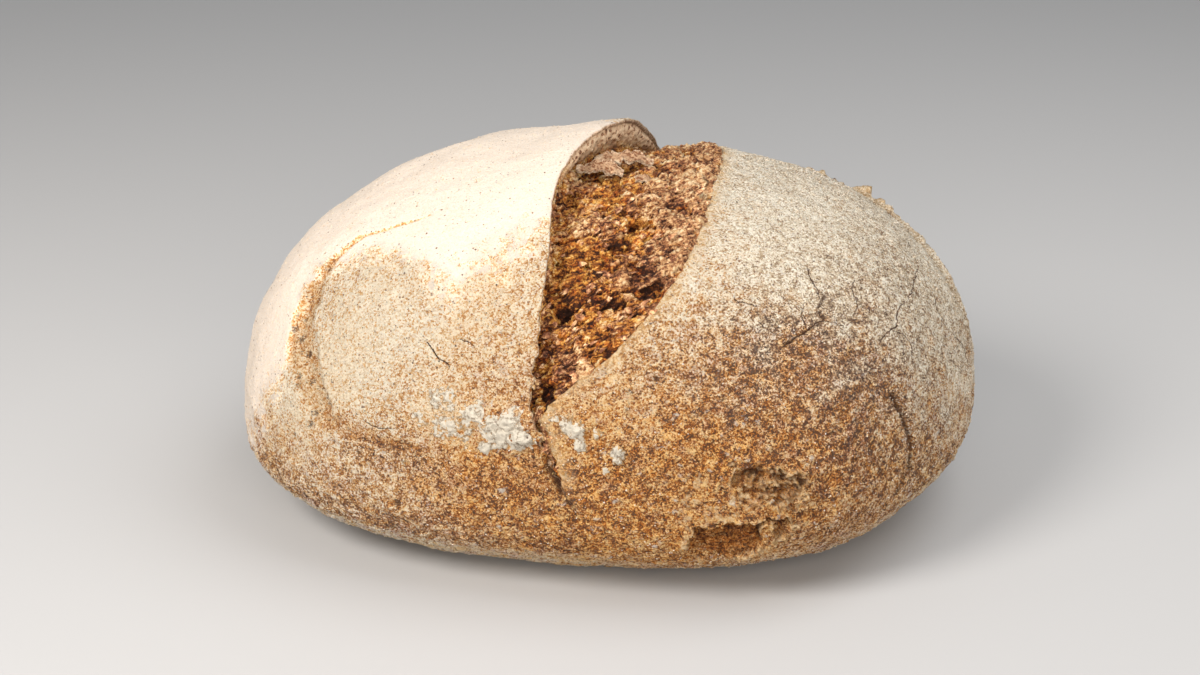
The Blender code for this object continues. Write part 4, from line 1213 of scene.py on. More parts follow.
def torn_strips(places, along, out, length, width, lift, rng, rows=7, columns=4):
    """Small torn skins that stand up from their places: closed thin bodies, with a share from 0 at the root
    to 1 at the torn tip."""
    count = len(places)
    along = along - out * (along * out).sum(-1, keepdims=True)
    along /= np.linalg.norm(along, axis=-1, keepdims=True)
    across = np.cross(out, along)
    u, v = np.meshgrid(np.linspace(0, 1, rows), np.linspace(-1, 1, columns), indexing="ij")
    ragged = 1 + 0.5 * (rng.random((count, 1, columns)) - 0.5) * u
    taper = (0.45 + 0.55 * np.sin(np.pi * np.clip(u * 0.85 + 0.1, 0, 1))) * (1 - 0.35 * u)
    curl = rng.normal(0, 0.25, (count, 1, 1)) * u * v + rng.normal(0, 0.10, (count, rows, columns))
    run = length[:, None, None] * u * ragged
    over = width[:, None, None] / 2 * v * taper
    bow = np.sin(u * rng.uniform(1.6, 3.0, (count, 1, 1))) + curl
    bow = lift[:, None, None] * bow - SKIN_ROOT * (1 - u)
    tops = (places[:, None, None] + along[:, None, None] * run[..., None]
            + across[:, None, None] * over[..., None] + out[:, None, None] * bow[..., None])
    points, quads = slabs(tops, -out[:, None, None] * SKIN_THICK)
    tip = np.repeat(np.broadcast_to(u, (count, rows, columns))[:, None], 2, 1)
    return points, quads, tip.ravel()


def crumb_skins(sizes):
    """Places, directions and sizes of the skins torn up from the crumb."""
    grid, masks, normal = torn_crumb(sizes)
    rng = np.random.default_rng(SKIN_SEED)
    rings, columns = grid.shape[:2]
    ring, column = (rng.integers(*(int(count * share) for share in shares), SKIN_TRIES * SKINS)
                    for count, shares in ((rings, SKIN_RINGS), (columns, SKIN_COLUMNS)))
    wanted = np.clip(0.5 + masks["height"][ring, column] / 2, 0.05, 1)
    chosen = np.flatnonzero(rng.random(SKIN_TRIES * SKINS) < wanted)[:SKINS]
    ring, column = ring[chosen], column[chosen]
    out = normal[ring, column]
    lean = np.stack([np.ones(len(ring)), rng.normal(0, 0.5, len(ring)), rng.normal(0.3, 0.4, len(ring))], -1)
    lean *= np.sign(rng.random(len(ring)) - 0.35)[:, None]
    length, width, lift = (rng.uniform(*span, len(ring)) for span in (SKIN_LENGTH, SKIN_WIDTH, SKIN_LIFT))
    return grid[ring, column], lean, out, length, width, lift * length, rng


def add_crumb_skins(sizes, material):
    points, quads, tip = torn_strips(*crumb_skins(sizes))
    return add_piece("crumb_skins", sizes, points, quads, [], material, {"tip": tip})


def add_crest_sheets(sizes, material):
    """Wavy sheets with torn edges, torn up at the crest."""
    x, turn, length, width, lift, heading, height = np.array(CREST_FLAKES, float).T[..., None, None]
    u, v = np.meshgrid(np.linspace(0, 1, 44), np.linspace(-1, 1, 18), indexing="ij")
    which = np.arange(len(CREST_FLAKES))[:, None, None] * 7.0
    tooth = np.stack([u + which, 0 * u + which, np.sign(v) + which], -1).reshape(-1, 3)
    ragged = rough(tooth, 0.11, seed=131, octaves=5).reshape(which.shape[0], *u.shape)
    outline = np.sqrt(np.clip(np.sin(np.pi * (0.04 + 0.92 * u)), 0, 1)) * (1 + 0.6 * ragged * np.abs(v))
    skin = Skin(dough_of(sizes), x[:, 0, 0], turn[:, 0, 0])
    out = skin.normal
    up = np.cross(out, X_AXIS)
    up *= np.where(up[:, 2:] > 0, 1, -1)
    angle = np.radians(heading[:, 0])
    along = np.cos(angle) * X_AXIS + np.sin(angle) * up
    start = skin.raised(base_relief(skin)[0] + height[:, 0, 0])
    arch = lift * (0.8 * np.sin(np.pi * u) + 0.25 * v)
    tops = (start[:, None, None] + along[:, None, None] * (length * (u - 0.5))[..., None]
            + np.cross(out, along)[:, None, None] * (width / 2 * v * outline)[..., None])
    flat = tops.reshape(-1, 3)
    crumple = layered(flat, SHEET_CRUMPLE).reshape(arch.shape)
    tops = tops + out[:, None, None] * (arch + crumple)[..., None]
    points, quads = slabs(tops, -out[:, None, None] * SHEET_THICK)
    edge = np.maximum(np.abs(v), np.abs(2 * u - 1))
    edge = np.repeat(np.broadcast_to(edge, arch.shape)[:, None], 2, 1)
    return add_piece("crest_flakes", sizes, points, quads, [], material, {"edge": edge})


# ------------------------------------------------------------------ dried flour


def add_flour_lumps(sizes, material):
    """Clods of dried flour over a patch low on the front. What is under the crust is left out."""
    skin = skin_patch(sizes, CLODS_X, CLODS_TURNS, CLOD_PITCH, CLOD_TURN_PITCH)
    points, reach = skin.points, 0 * skin.x
    for *place, share in CLODS:
        reach = np.maximum(reach, share * ease((CLOD_RIM - oval(skin, *place)[0]) / CLOD_EDGE))
    inside, own = cells(points, CLOD_CELL, seed=91)
    crumbled, small = cells(points, CLOD_CRUMB, seed=92)
    lump = reach * (0.9 + 0.2 * own) + layered(points, CLOD_RAGGED) - CLOD_LEVEL
    high = np.clip(lump * CLOD_STEEP, -0.6, 1.0) * CLOD_HEIGHT * (0.6 + 0.4 * ease(inside / CLOD_GAP))
    high += np.where(lump > 0, CLOD_CRUMB_HEIGHT * ease(crumbled / CLOD_CRUMB_WALL) * (0.3 + small), 0)
    high += CLOD_GRIT * rough(points, CLOD_GRIT_SIZE, seed=95)
    grid = skin.raised(base_relief(skin)[0] + np.maximum(high, -CLOD_SINK))
    quads = grid_quads(*skin.shape, flip=True)[touched(high.reshape(skin.shape) > 0.0)]
    return add_piece("flour_lumps", sizes, grid, quads, [], material, {"high": high, "gap": inside})


# ------------------------------------------------------------------ loose grains and bran

OCTAHEDRON = np.array([(1, 0, 0), (0, 1, 0), (-1, 0, 0), (0, -1, 0), (0, 0, 1), (0, 0, -1)], float)
OCTAHEDRON_FACES = np.array([(0, 1, 4), (1, 2, 4), (2, 3, 4), (3, 0, 4), (1, 0, 5), (2, 1, 5), (3, 2, 5),
                             (0, 3, 5)])


def scattered(grid, density, count, rng):
    """Random places on a grid of points, thicker where it is dense, with their normals."""
    here, across, after = grid[:-1, :-1], grid[:-1, 1:], grid[1:, :-1]
    square = np.cross(across - here, after - here)
    share = np.linalg.norm(square, axis=-1) * density[:-1, :-1]
    pick = rng.choice(share.size, count, p=share.ravel() / share.sum())
    u, v = rng.random((2, count, 1))
    here, across, after = (p.reshape(-1, 3)[pick] for p in (here, across, after))
    out = square.reshape(-1, 3)[pick]
    return here + (across - here) * u + (after - here) * v, out / np.linalg.norm(out, axis=1, keepdims=True)


def pellets(places, out, radius, flat, rng):
    """Rough eight-sided grains at their places, flattened against the surface: points, triangles."""
    count = len(places)
    spin = rng.normal(size=(count, 3))
    along = np.cross(out, spin)
    along /= np.linalg.norm(along, axis=1, keepdims=True)
    across = np.cross(out, along)
    shape = OCTAHEDRON[None] * rng.uniform(0.6, 1.3, (count, 6, 1)) * radius[:, None, None]
    points = (places[:, None] + along[:, None] * shape[..., :1] + across[:, None] * shape[..., 1:2]
              + out[:, None] * shape[..., 2:] * flat)
    triangles = OCTAHEDRON_FACES[None] + np.arange(count)[:, None, None] * 6
    return points.reshape(-1, 3), triangles.reshape(-1, 3)


def add_grains(sizes, name, count, radius, flat, density, material, seed):
    """Grains over both crusts, half of the count on each, by a density worked out from the masks."""
    rng = np.random.default_rng(seed)
    points, triangles, shade, number = [], [], [], count // 2
    for side, outward in (("left", 1), ("right", -1)):
        grid, masks, _ = baked_crust(sizes, side)
        grid = grid[:, :CRUST_COLUMNS]
        masks = {key: values[:, :CRUST_COLUMNS] for key, values in masks.items()}
        places, out = scattered(grid, density(masks), number, rng)
        out = out * outward
        size = rng.uniform(*radius, number)
        more, faces = pellets(places + out * size[:, None] * flat * 0.2, out, size, flat, rng)
        triangles.append(faces + sum(len(p) for p in points))
        points.append(more)
        shade.append(np.repeat(rng.random(number), 6))
    points = np.concatenate(points)
    points[:, 2] = np.maximum(points[:, 2], 0.02)
    masks = {"shade": np.concatenate(shade)}
    return add_piece(name, sizes, points, [], np.concatenate(triangles), material, masks)


# ------------------------------------------------------------------ shader nodes


def per_mm(size):
    """Texture scale that makes features this many millimetres across."""
    return 1000.0 / size


class Tree:
    """Short ways to add nodes to a material or a node group."""

    def __init__(self, tree):
        self.tree = tree

    def node(self, kind, inputs=(), **settings):
        node = self.tree.nodes.new("ShaderNode" + kind)
        for key, value in settings.items():
            setattr(node, key, value)
        for key, value in dict(inputs).items():
            if isinstance(value, bpy.types.NodeSocket):
                self.tree.links.new(value, node.inputs[key])
            elif value is not None:
                node.inputs[key].default_value = value
        return node

    def places(self):
        return self.node("TexCoord").outputs["Object"]

    def mask(self, name):
        return self.node("Attribute", attribute_name=name).outputs["Fac"]

    def noise(self, places, size, detail=3.0, roughness=0.5):
        inputs = {"Vector": places, "Scale": per_mm(size), "Detail": detail, "Roughness": roughness}
        return self.node("TexNoise", inputs).outputs["Fac"]

    def swing(self, *noise):
        """Noise that goes as far below 0 as above it."""
        return self.centred(self.noise(*noise))

    def centred(self, value):
        return self.sum("SUBTRACT", value, 0.5)

    def stretched(self, places, scale):
        """Places drawn out along the axes whose scale is small."""
        return self.node("VectorMath", {0: places, 1: scale}, operation="MULTIPLY").outputs["Vector"]

    def ramp(self, value, low, high, start=0.0, end=1.0):
        inputs = {"Value": value, "From Min": low, "From Max": high, "To Min": start, "To Max": end}
        return self.node("MapRange", inputs, interpolation_type="SMOOTHSTEP").outputs["Result"]

    def sum(self, operation, first, second=None, third=None):
        return self.node("Math", {0: first, 1: second, 2: third}, operation=operation).outputs["Value"]

    def times(self, first, second):
        return self.sum("MULTIPLY", first, second)

    def plus(self, start, *terms):
        """A start with some of each term added to it, as (value, how much of it)."""
        for value, amount in terms:
            start = self.sum("MULTIPLY_ADD", value, amount, start)
        return start

    def mix(self, share, first, second, blend="MIX"):
        node = self.node("Mix", data_type="RGBA", blend_type=blend, clamp_factor=True)
        for key, value in ((0, share), (6, first), (7, second)):
            if isinstance(value, bpy.types.NodeSocket):
                self.tree.links.new(value, node.inputs[key])
            else:
                node.inputs[key].default_value = value if key == 0 else (*value, 1.0)
        return node.outputs[2]

    def palette(self, value, stations):
        """Colours read off a scale of (place, colour) stations."""
        node = self.node("ValToRGB", {"Fac": value})
        scale = node.color_ramp.elements
        scale[0].position, scale[1].position = stations[0][0], stations[-1][0]
        scale[0].color, scale[-1].color = (*stations[0][1], 1.0), (*stations[-1][1], 1.0)
        for place, colour in stations[1:-1]:
            scale.new(place).color = (*colour, 1.0)
        return node.outputs["Color"]

    def group(self, tree, place, size, **values):
        """The one output of a node group whose features are this many millimetres across."""
        inputs = {"Place": place, "Scale": per_mm(size), **values}
        return self.node("Group", inputs, node_tree=tree).outputs[0]


def new_group(name, inputs, output):
    """An empty node group with named number inputs, an object place input and one number output."""
    tree = bpy.data.node_groups.new(name, "ShaderNodeTree")
    tree.interface.new_socket("Place", in_out="INPUT", socket_type="NodeSocketVector")
    for label, default in inputs.items():
        socket = tree.interface.new_socket(label, in_out="INPUT", socket_type="NodeSocketFloat")
        socket.default_value = default
    tree.interface.new_socket(output, in_out="OUTPUT", socket_type="NodeSocketFloat")
    nodes = Tree(tree)
    given, result = (tree.nodes.new(kind) for kind in ("NodeGroupInput", "NodeGroupOutput"))
    return nodes, given.outputs, result.inputs[output]


def wobbly_cells(nodes, given, scale, wobble):
    """Cells of a surface with wobbly walls: how far each place is from the middle of its cell, and a number
    of that cell's own."""
    noise = nodes.node("TexNoise", {"Vector": given["Place"], "Scale": scale, "Detail": 1.0})
    inputs = {0: noise.outputs["Color"], 1: (wobble,) * 3, 2: given["Place"]}
    moved = nodes.node("VectorMath", inputs, operation="MULTIPLY_ADD").outputs["Vector"]
    cell = nodes.node("TexVoronoi", {"Vector": moved, "Scale": given["Scale"]})
    own = nodes.node("SeparateColor", {"Color": cell.outputs["Color"]}).outputs["Red"]
    return cell.outputs["Distance"], own


def fleck_group():
    """Separate small flecks, of which only this share of the cells holds one."""
    if "loaf flecks" in bpy.data.node_groups:
        return bpy.data.node_groups["loaf flecks"]
    nodes, given, result = new_group("loaf flecks", {"Scale": 700.0, "Share": 0.2, "Radius": 0.3}, "Mask")
    away, own = wobbly_cells(nodes, given, 2600.0, 0.0006)
    held = nodes.sum("LESS_THAN", own, given["Share"])
    dot = nodes.ramp(away, given["Radius"], nodes.times(given["Radius"], 0.6))
    nodes.tree.links.new(nodes.times(dot, held), result)
    return nodes.tree


def shade_group():
    """A number of its own from 0 to 1 for each small grain of a surface."""
    if "loaf grain shade" in bpy.data.node_groups:
        return bpy.data.node_groups["loaf grain shade"]
    nodes, given, result = new_group("loaf grain shade", {"Scale": 1600.0}, "Shade")
    nodes.tree.links.new(wobbly_cells(nodes, given, 3000.0, 0.0004)[1], result)
    return nodes.tree


def grain_group():
    """Height of a sandy surface: coarse grains with finer ones between."""
    if "loaf grain height" in bpy.data.node_groups:
        return bpy.data.node_groups["loaf grain height"]
    nodes, given, result = new_group("loaf grain height", {"Scale": 1200.0, "Fine": 0.5}, "Height")
    inputs = {"Vector": given["Place"], "Scale": given["Scale"]}
    coarse = nodes.node("TexVoronoi", inputs, feature="SMOOTH_F1")
    inputs = {"Vector": given["Place"], "Scale": nodes.times(given["Scale"], 2.7), "Detail": 3.0,
              "Roughness": 0.65}
    fine = nodes.node("TexNoise", inputs).outputs["Fac"]
    height = nodes.sum("SUBTRACT", 0.7, coarse.outputs["Distance"])
    nodes.tree.links.new(nodes.plus(height, (fine, given["Fine"])), result)
    return nodes.tree


def new_material(name):
    """A material, its nodes, its shader and the places that its textures are laid by."""
    material = bpy.data.materials.new(name)
    material.use_nodes = True
    shader = material.node_tree.nodes["Principled BSDF"]
    shader.inputs["Specular IOR Level"].default_value = 0.25
    nodes = Tree(material.node_tree)
    return material, nodes, shader, nodes.places()


def finish_material(nodes, shader, colour, height, roughness, distance, strength=1.0):
    """Puts a colour, a roughness and a bumped normal into the shader."""
    inputs = {"Height": height, "Distance": distance, "Strength": strength}
    bump = nodes.node("Bump", inputs).outputs["Normal"]
    nodes.tree.links.new(colour, shader.inputs["Base Color"])
    nodes.tree.links.new(bump, shader.inputs["Normal"])
    shader.inputs["Roughness"].default_value = roughness


# ------------------------------------------------------------------ materials


def bake_colour(nodes, place, masks, grain, colours):
    """The crust's colour from burnt through golden to floured, grain by grain, with greyer places."""
    cover, golden = masks["cover"], masks["golden"]
    spread = nodes.plus(4.0, (cover, -3.0))
    shade = nodes.centred(nodes.group(shade_group(), place, 0.48))
    tone = nodes.plus(BARE_TONE, (cover, COVER_TONE), (grain, spread),
                      (nodes.swing(place, 2.8, 5.0, 0.66), nodes.times(spread, 0.7)),
                      # The fine relief lightens the tone on bumps and darkens it in hollows: painted light
                      # and shade
                      (shade, nodes.plus(0.95, (cover, -0.3))), (masks["fine"], 0.22),
                      # The foot lightens the tone: partly its pale base, partly painted bounce light
                      (masks["slashed"], -0.19), (masks["foot"], 0.2), (golden, 0.08))
    bran = tuple(colours.bran)
    warm = nodes.palette(tone, ((0.0, bran), (0.24, tuple(colours.brown_crust)),
                                (0.42, tuple(colours.golden_crust)), (0.6, TAN_SAND),
                                (0.78, tuple(colours.cream_flour)), (1.0, PALE_SAND)))
    grey = nodes.palette(tone, ((0.0, bran), *GREY_BAKE))
    hue, bare = nodes.noise(place, 4.5, 5.0, 0.7), nodes.plus(1.15, (cover, -1.15))
    for low, high, tint in ((0.50, 0.60, ORANGE_TINT), (0.48, 0.40, PURPLE_TINT)):
        warm = nodes.mix(nodes.times(nodes.ramp(hue, low, high), bare), warm, tint, "MULTIPLY")
    warm = nodes.mix(nodes.times(golden, 0.9), warm, FRONT_TINT, "MULTIPLY")
    share = nodes.plus(-0.12, (masks["grey"], 1.2), (nodes.swing(place, 7.0, 4.0, 0.6), 2.2))
    return nodes.mix(nodes.ramp(share, 0.0, 1.0), warm, grey)


def flour_colour(nodes, place, masks, grain, gritty, colour, colours):
    """Lays mottling, dust, the white coat and two kinds of flecks over the baked crust."""
    cover, white = masks["cover"], masks["white"]
    mottle = nodes.ramp(nodes.noise(place, 1.1, 4.0, 0.78), 0.55, 0.62)
    colour = nodes.mix(nodes.times(mottle, nodes.plus(0.85, (cover, -1.2))), colour, MOTTLE_COLOUR)
    dust = nodes.ramp(nodes.noise(place, 1.2, 4.0, 0.75), 0.55, 0.66)
    dust = nodes.times(dust, nodes.plus(1.0, (masks["golden"], -0.7)))
    colour = nodes.mix(nodes.times(dust, nodes.ramp(cover, 0.2, 0.6, 0.25, 0.5)), colour, PINK_DUST)
    # The fine relief and the grain make the white coat whiter on bumps: painted light
    whiteness = nodes.plus(white, (nodes.swing(place, 3.6, 5.0, 0.65), 2.4), (masks["fine"], 0.9),
                           (gritty, 1.2), (masks["slashed"], -1.6))
    floury = nodes.mix(nodes.ramp(grain, 0.36, 0.60), WHITE_SHADE, tuple(colours.white_flour))
    colour = nodes.mix(nodes.times(nodes.ramp(whiteness, 0.28, 0.8), 0.96), colour, floury)
    for size, share, radius, strength, fleck in (
            (1.15, nodes.plus(0.26, (white, -0.05)), 0.24, 0.7, tuple(colours.bran)),
            (0.62, nodes.times(masks["grey"], 0.24), 0.30, 0.5, OLIVE_FLECK)):
        flecks = nodes.group(fleck_group(), place, size, Share=share, Radius=radius)
        colour = nodes.mix(nodes.times(flecks, strength), colour, fleck)
    return colour


def torn_colour(nodes, place, masks, gritty, colour, hairline):
    """Lays the rims and fibres of torn crust, the cracks together with the painted shade of pores and of the
    torn patch's upper edges, and the cut edge over the crust's colour.
    """
    rim = nodes.mix(nodes.ramp(nodes.noise(place, 1.1, 4.0, 0.7), 0.38, 0.6), RIM_GOLD, RIM_CREAM)
    colour = nodes.mix(nodes.times(masks["rim"], 0.92), colour, rim)
    fibre = nodes.noise(nodes.stretched(place, FIBRE_STRETCH), 1.3, 5.0, 0.75)
    # The fine relief lightens the torn fibres on bumps: painted light
    fibre = nodes.plus(-0.25, (fibre, 1.5), (gritty, 1.8), (masks["fine"], 0.3))
    colour = nodes.mix(nodes.times(masks["torn"], 0.9), colour, nodes.palette(fibre, TORN_FIBRES))
    # The cracks' mask carries painted shade of pores and torn edges as well as the cracks
    broken = nodes.ramp(nodes.plus(masks["cracked"], (gritty, 3.0)), 0.22, 0.6)
    cracked = nodes.sum("MAXIMUM", nodes.times(broken, 0.85), hairline)
    colour = nodes.mix(cracked, colour, CRACK_COLOUR)
    cut = nodes.mix(nodes.ramp(nodes.noise(place, 1.0, 4.0, 0.7), 0.4, 0.6), CUT_DARK, CUT_LIGHT)
    return nodes.mix(masks["cut"], colour, cut)


def hairline_mask(nodes, place):
    """Thin jagged cracks, along the rows of lines that the crust's masks give."""
    jagged, found = nodes.times(nodes.swing(place, 1.5, 4.0, 0.7), 1.5), None
    for row in range(len(HAIRLINES)):
        beside = nodes.sum("ABSOLUTE", nodes.sum("ADD", nodes.mask(f"beside_{row}"), jagged))
        gape = nodes.mask(f"gape_{row}")
        line = nodes.times(nodes.ramp(beside, gape, nodes.times(gape, 0.4)), nodes.ramp(gape, 0.03, 0.10))
        found = line if found is None else nodes.sum("MAXIMUM", found, line)
    return found


def crust_material(colours):
    """Floured crust, made once for the crust and the torn patch."""
    if "floured crust" in bpy.data.materials:
        return bpy.data.materials["floured crust"]
    material, nodes, shader, place = new_material("floured crust")
    masks = {key: nodes.mask(key) for key in CRUST_MASKS}
    grain = nodes.noise(place, 0.62, 5.0, 0.76)
    gritty, hairline = nodes.centred(grain), hairline_mask(nodes, place)
    colour = bake_colour(nodes, place, masks, gritty, colours)
    colour = flour_colour(nodes, place, masks, grain, gritty, colour, colours)
    colour = torn_colour(nodes, place, masks, gritty, colour, hairline)
    sand = nodes.group(grain_group(), place, 0.7, Fine=0.8)
    # The grain noise that sets the colour raises this bump too, so grains are painted lighter on top and
    # darker between: painted shade as well as their own tones
    height = nodes.plus(sand, (grain, 2.2), (nodes.noise(place, 2.2, 3.0, 0.6), 2.4), (hairline, -1.2))
    strength = nodes.plus(1.0, (masks["white"], -0.5))
    finish_material(nodes, shader, colour, height, 0.85, 0.0008, strength)
    return material


def ear_colour(nodes, place, fine, colour):
    """The porous face of the ear over the colour of the crumb: its small holes painted dark as shade, its
    walls paler, partly in their own colour and partly as painted light.
    """
    deeper = nodes.stretched(place, (1.0, 0.45, 1.0))
    pore_shade = nodes.group(fleck_group(), deeper, 1.5, Share=0.8, Radius=0.5)
    walls = nodes.plus(1.0, (fine, 3.6), (pore_shade, -0.6))
    return nodes.mix(nodes.mask("ear_face"), colour, nodes.palette(walls, EAR_CRUMB_AND_LIGHT))


def with_station(stations, place, colour):
    """A palette with one more colour in it."""
    return tuple(sorted((*stations, (place, tuple(colour)))))


def crumb_material(colours):
    """Torn crumb: painted dark as shade in the holes, golden on the slopes, purple brown with cream walls on
    the crests, painted lighter near the ear against its shadow, and porous and paler on the face of the ear,
    partly as painted light."""
    material, nodes, shader, place = new_material("torn crumb")
    height, side = nodes.mask("height"), nodes.mask("side")
    inputs = {"Vector": place, "Rotation": STRAND_LEAN, "Scale": STRAND_DRAWN}
    drawn = nodes.node("Mapping", inputs, vector_type="TEXTURE").outputs["Vector"]
    fine, shade = nodes.swing(drawn, 1.05, 5.0, 0.75), nodes.centred(nodes.group(shade_group(), place, 0.6))
    flecks = nodes.group(fleck_group(), drawn, 1.5, Share=0.6, Radius=0.42)
    tone = nodes.plus(0.46, (fine, 2.5), (nodes.swing(place, 5.0, 4.0, 0.6), 1.2), (shade, 0.40),
                      # Darker deeper in holes and lighter higher up: painted shade
                      (nodes.mask("hole_shade"), -0.26), (height, 0.06))
    # Near the ear the tone is raised: painted light against the ear's shadow; then the glow mask adds
    for more in (nodes.ramp(side, 0.12, 0.34, 0.16, 0.0), nodes.mask("glow")):
        tone = nodes.sum("ADD", tone, more)
    tone = nodes.plus(tone, (flecks, -0.14))
    rise = nodes.plus(height, (nodes.noise(place, 2.4, 5.0, 0.7), 5.5), (nodes.ramp(side, 0.45, 0.85), 1.0))
    rise = nodes.sum("ADD", rise, nodes.mask("burnt"))
    golden = nodes.palette(tone, with_station(AMBER_CRUMB, GOLD_AT, colours.crumb_gold))
    ruddy = nodes.ramp(nodes.noise(place, 3.4, 3.0, 0.6), 0.5, 0.62, 0.0, 0.7)
    golden = nodes.mix(ruddy, golden, RUDDY_TINT, "MULTIPLY")
    paler = nodes.sum("ADD", tone, nodes.ramp(side, 0.5, 0.95, 0.0, 0.14))
    burnt = nodes.palette(paler, with_station(CREST_CRUMB, BURNT_AT, colours.crumb_burnt))
    colour = nodes.mix(nodes.times(nodes.ramp(rise, 3.2, 4.8), 0.75), golden, burnt)
    grain = nodes.plus(nodes.group(grain_group(), place, 0.9, Fine=0.9), (fine, 2.6))
    finish_material(nodes, shader, ear_colour(nodes, place, fine, colour), grain, 0.78, 0.0006)
    return material


def skin_material(colours):
    """Torn skins: dark at the root, paler and speckled at the tip."""
    material, nodes, shader, place = new_material("torn skin")
    tone = nodes.plus(0.12, (nodes.group(shade_group(), place, 0.6), 0.40), (nodes.mask("tip"), 0.24),
                      (nodes.swing(place, 2.4, 4.0), 1.4))
    colour = nodes.palette(tone, with_station(CREST_CRUMB, BURNT_AT, colours.crumb_burnt))
    finish_material(nodes, shader, colour, nodes.group(grain_group(), place, 0.8, Fine=0.8), 0.8, 0.0002)
    return material


def sheet_material():
    """Sheets torn up at the crest: pinkish brown, with paler edges and specks of flour."""
    material, nodes, shader, place = new_material("torn sheet")
    tone = nodes.plus(nodes.noise(place, 1.8, 5.0, 0.7), (nodes.group(shade_group(), place, 0.6), 0.25))
    colour = nodes.mix(nodes.ramp(tone, 0.5, 0.7), SHEET_BROWN, SHEET_PINK)
    pale = nodes.ramp(nodes.plus(nodes.mask("edge"), (tone, 0.8)), 1.2, 1.6)
    colour = nodes.mix(nodes.times(pale, 0.8), colour, SHEET_EDGE)
    grain = nodes.plus(nodes.group(grain_group(), place, 0.8, Fine=0.8), (tone, 2.0))
    finish_material(nodes, shader, colour, grain, 0.8, 0.0009)
    return material


def flour_material():
    """Dried flour: off-white grains, with crust showing through where a lump is thin."""
    material, nodes, shader, place = new_material("dried flour")
    high, grain = nodes.mask("high"), nodes.noise(place, 0.9, 4.0, 0.7)
    gritty = nodes.centred(grain)
    tone = nodes.plus(nodes.ramp(high, 0.0, 0.9), (gritty, 3.0))
    colour = nodes.mix(nodes.ramp(tone, -0.2, 0.5), LUMP_GREY, LUMP_WHITE)
    low = nodes.ramp(nodes.plus(high, (gritty, 2.2)), 0.42, 0.12)
    colour = nodes.mix(nodes.times(low, 0.9), colour, TAN_SAND)
    gap = nodes.ramp(nodes.plus(nodes.mask("gap"), (gritty, 1.6)), 0.16, 0.0)
    colour = nodes.mix(nodes.times(gap, 0.65), colour, LUMP_GREY)
    sand = nodes.group(grain_group(), place, 0.75, Fine=0.9)
    finish_material(nodes, shader, colour, nodes.plus(sand, (grain, 2.0)), 0.9, 0.0007)
    return material


def grain_material(name, dark, light, roughness):
    """A finish for small grains, each with its own shade."""
    material, nodes, shader, place = new_material(name)
    colour = nodes.mix(nodes.mask("shade"), dark, light)
    finish_material(nodes, shader, colour, nodes.noise(place, 0.3, 2.0), roughness, 0.0001)
    return material


# ------------------------------------------------------------------ the stage


def floor_material(colour):
    material, nodes, shader, place = new_material("plain floor")
    # Darker towards the back: painted shade of light falling off with distance
    far = nodes.node("SeparateXYZ", {"Vector": place}).outputs["Y"]
    painted_falloff = nodes.mix(nodes.ramp(far, FLOOR_SHADE_FROM, FLOOR_SHADE_TO), colour, FLOOR_FAR_SHADED)
    finish_material(nodes, shader, painted_falloff, nodes.noise(place, 300.0, 1.0), 0.6, 0.0001, 0.1)
    return material


def add_floor(stage):
    mesh = bpy.data.meshes.new("floor")
    half = FLOOR_HALF
    corners = [(-half, -half, 0), (half, -half, 0), (half, half, 0), (-half, half, 0)]
    mesh.from_pydata(corners, [], [(0, 1, 2, 3)])
    mesh.materials.append(floor_material(tuple(stage.floor_colour)))
    floor = bpy.data.objects.new("floor", mesh)
    bpy.context.scene.collection.objects.link(floor)
    floor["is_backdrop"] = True


def add_light(name, place, target, size, power, colour):
    light = bpy.data.lights.new(name, "AREA")
    light.shape, light.size, light.energy, light.color = "DISK", size, power, colour
    lamp = bpy.data.objects.new(name, light)
    lamp.location = place
    lamp.rotation_euler = (Vector(target) - Vector(place)).to_track_quat("-Z", "Y").to_euler()
    bpy.context.scene.collection.objects.link(lamp)


def add_camera(stage):
    camera = bpy.data.objects.new("camera", bpy.data.cameras.new("camera"))
    camera.data.lens, camera.data.sensor_width = stage.lens, 36.0
    camera.data.clip_start, camera.data.clip_end = 0.01, 50.0
    back = Vector((0, -math.cos(stage.elevation), math.sin(stage.elevation)))
    camera.location = Vector(stage.target) + back * stage.distance
    camera.rotation_euler = (-back).to_track_quat("-Z", "Y").to_euler()
    bpy.context.scene.collection.objects.link(camera)
    bpy.context.scene.camera = camera


def light_surround(strength):
    world = bpy.data.worlds.new("even light")
    world.use_nodes = True
    world.node_tree.nodes["Background"].inputs["Color"].default_value = (*SURROUND_COLOUR, 1.0)
    world.node_tree.nodes["Background"].inputs["Strength"].default_value = strength
    bpy.context.scene.world = world


# ------------------------------------------------------------------ operators

Sizes = collections.namedtuple("Sizes", "length depth waist_height crown_rise crag_depth pebble_height "
                               "sand_height")


def sizes_of(context):
    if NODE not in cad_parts:
        raise RuntimeError(f"the packed model has no node named {NODE}")
    return Sizes(*(getattr(context.scene.loaf_sizes, field) for field in Sizes._fields))


class LOAF_OT_crust(bpy.types.Operator):
    """Bakes the floured crust on both sides of the burst"""
    bl_idname = "loaf.crust"
    bl_label = "Crust"

    def execute(self, context):
        sizes = sizes_of(context)
        material = crust_material(context.scene.loaf_colours)
        left, right = (add_crust(sizes, side, material) for side in ("left", "right"))
        join_normals(sizes, left, right)
        return {"FINISHED"}


class LOAF_OT_crumb(bpy.types.Operator):
    """Tears the crumb open in the burst"""
    bl_idname = "loaf.crumb"
    bl_label = "Torn crumb"

    def execute(self, context):
        add_crumb(sizes_of(context), crumb_material(context.scene.loaf_colours))
        return {"FINISHED"}


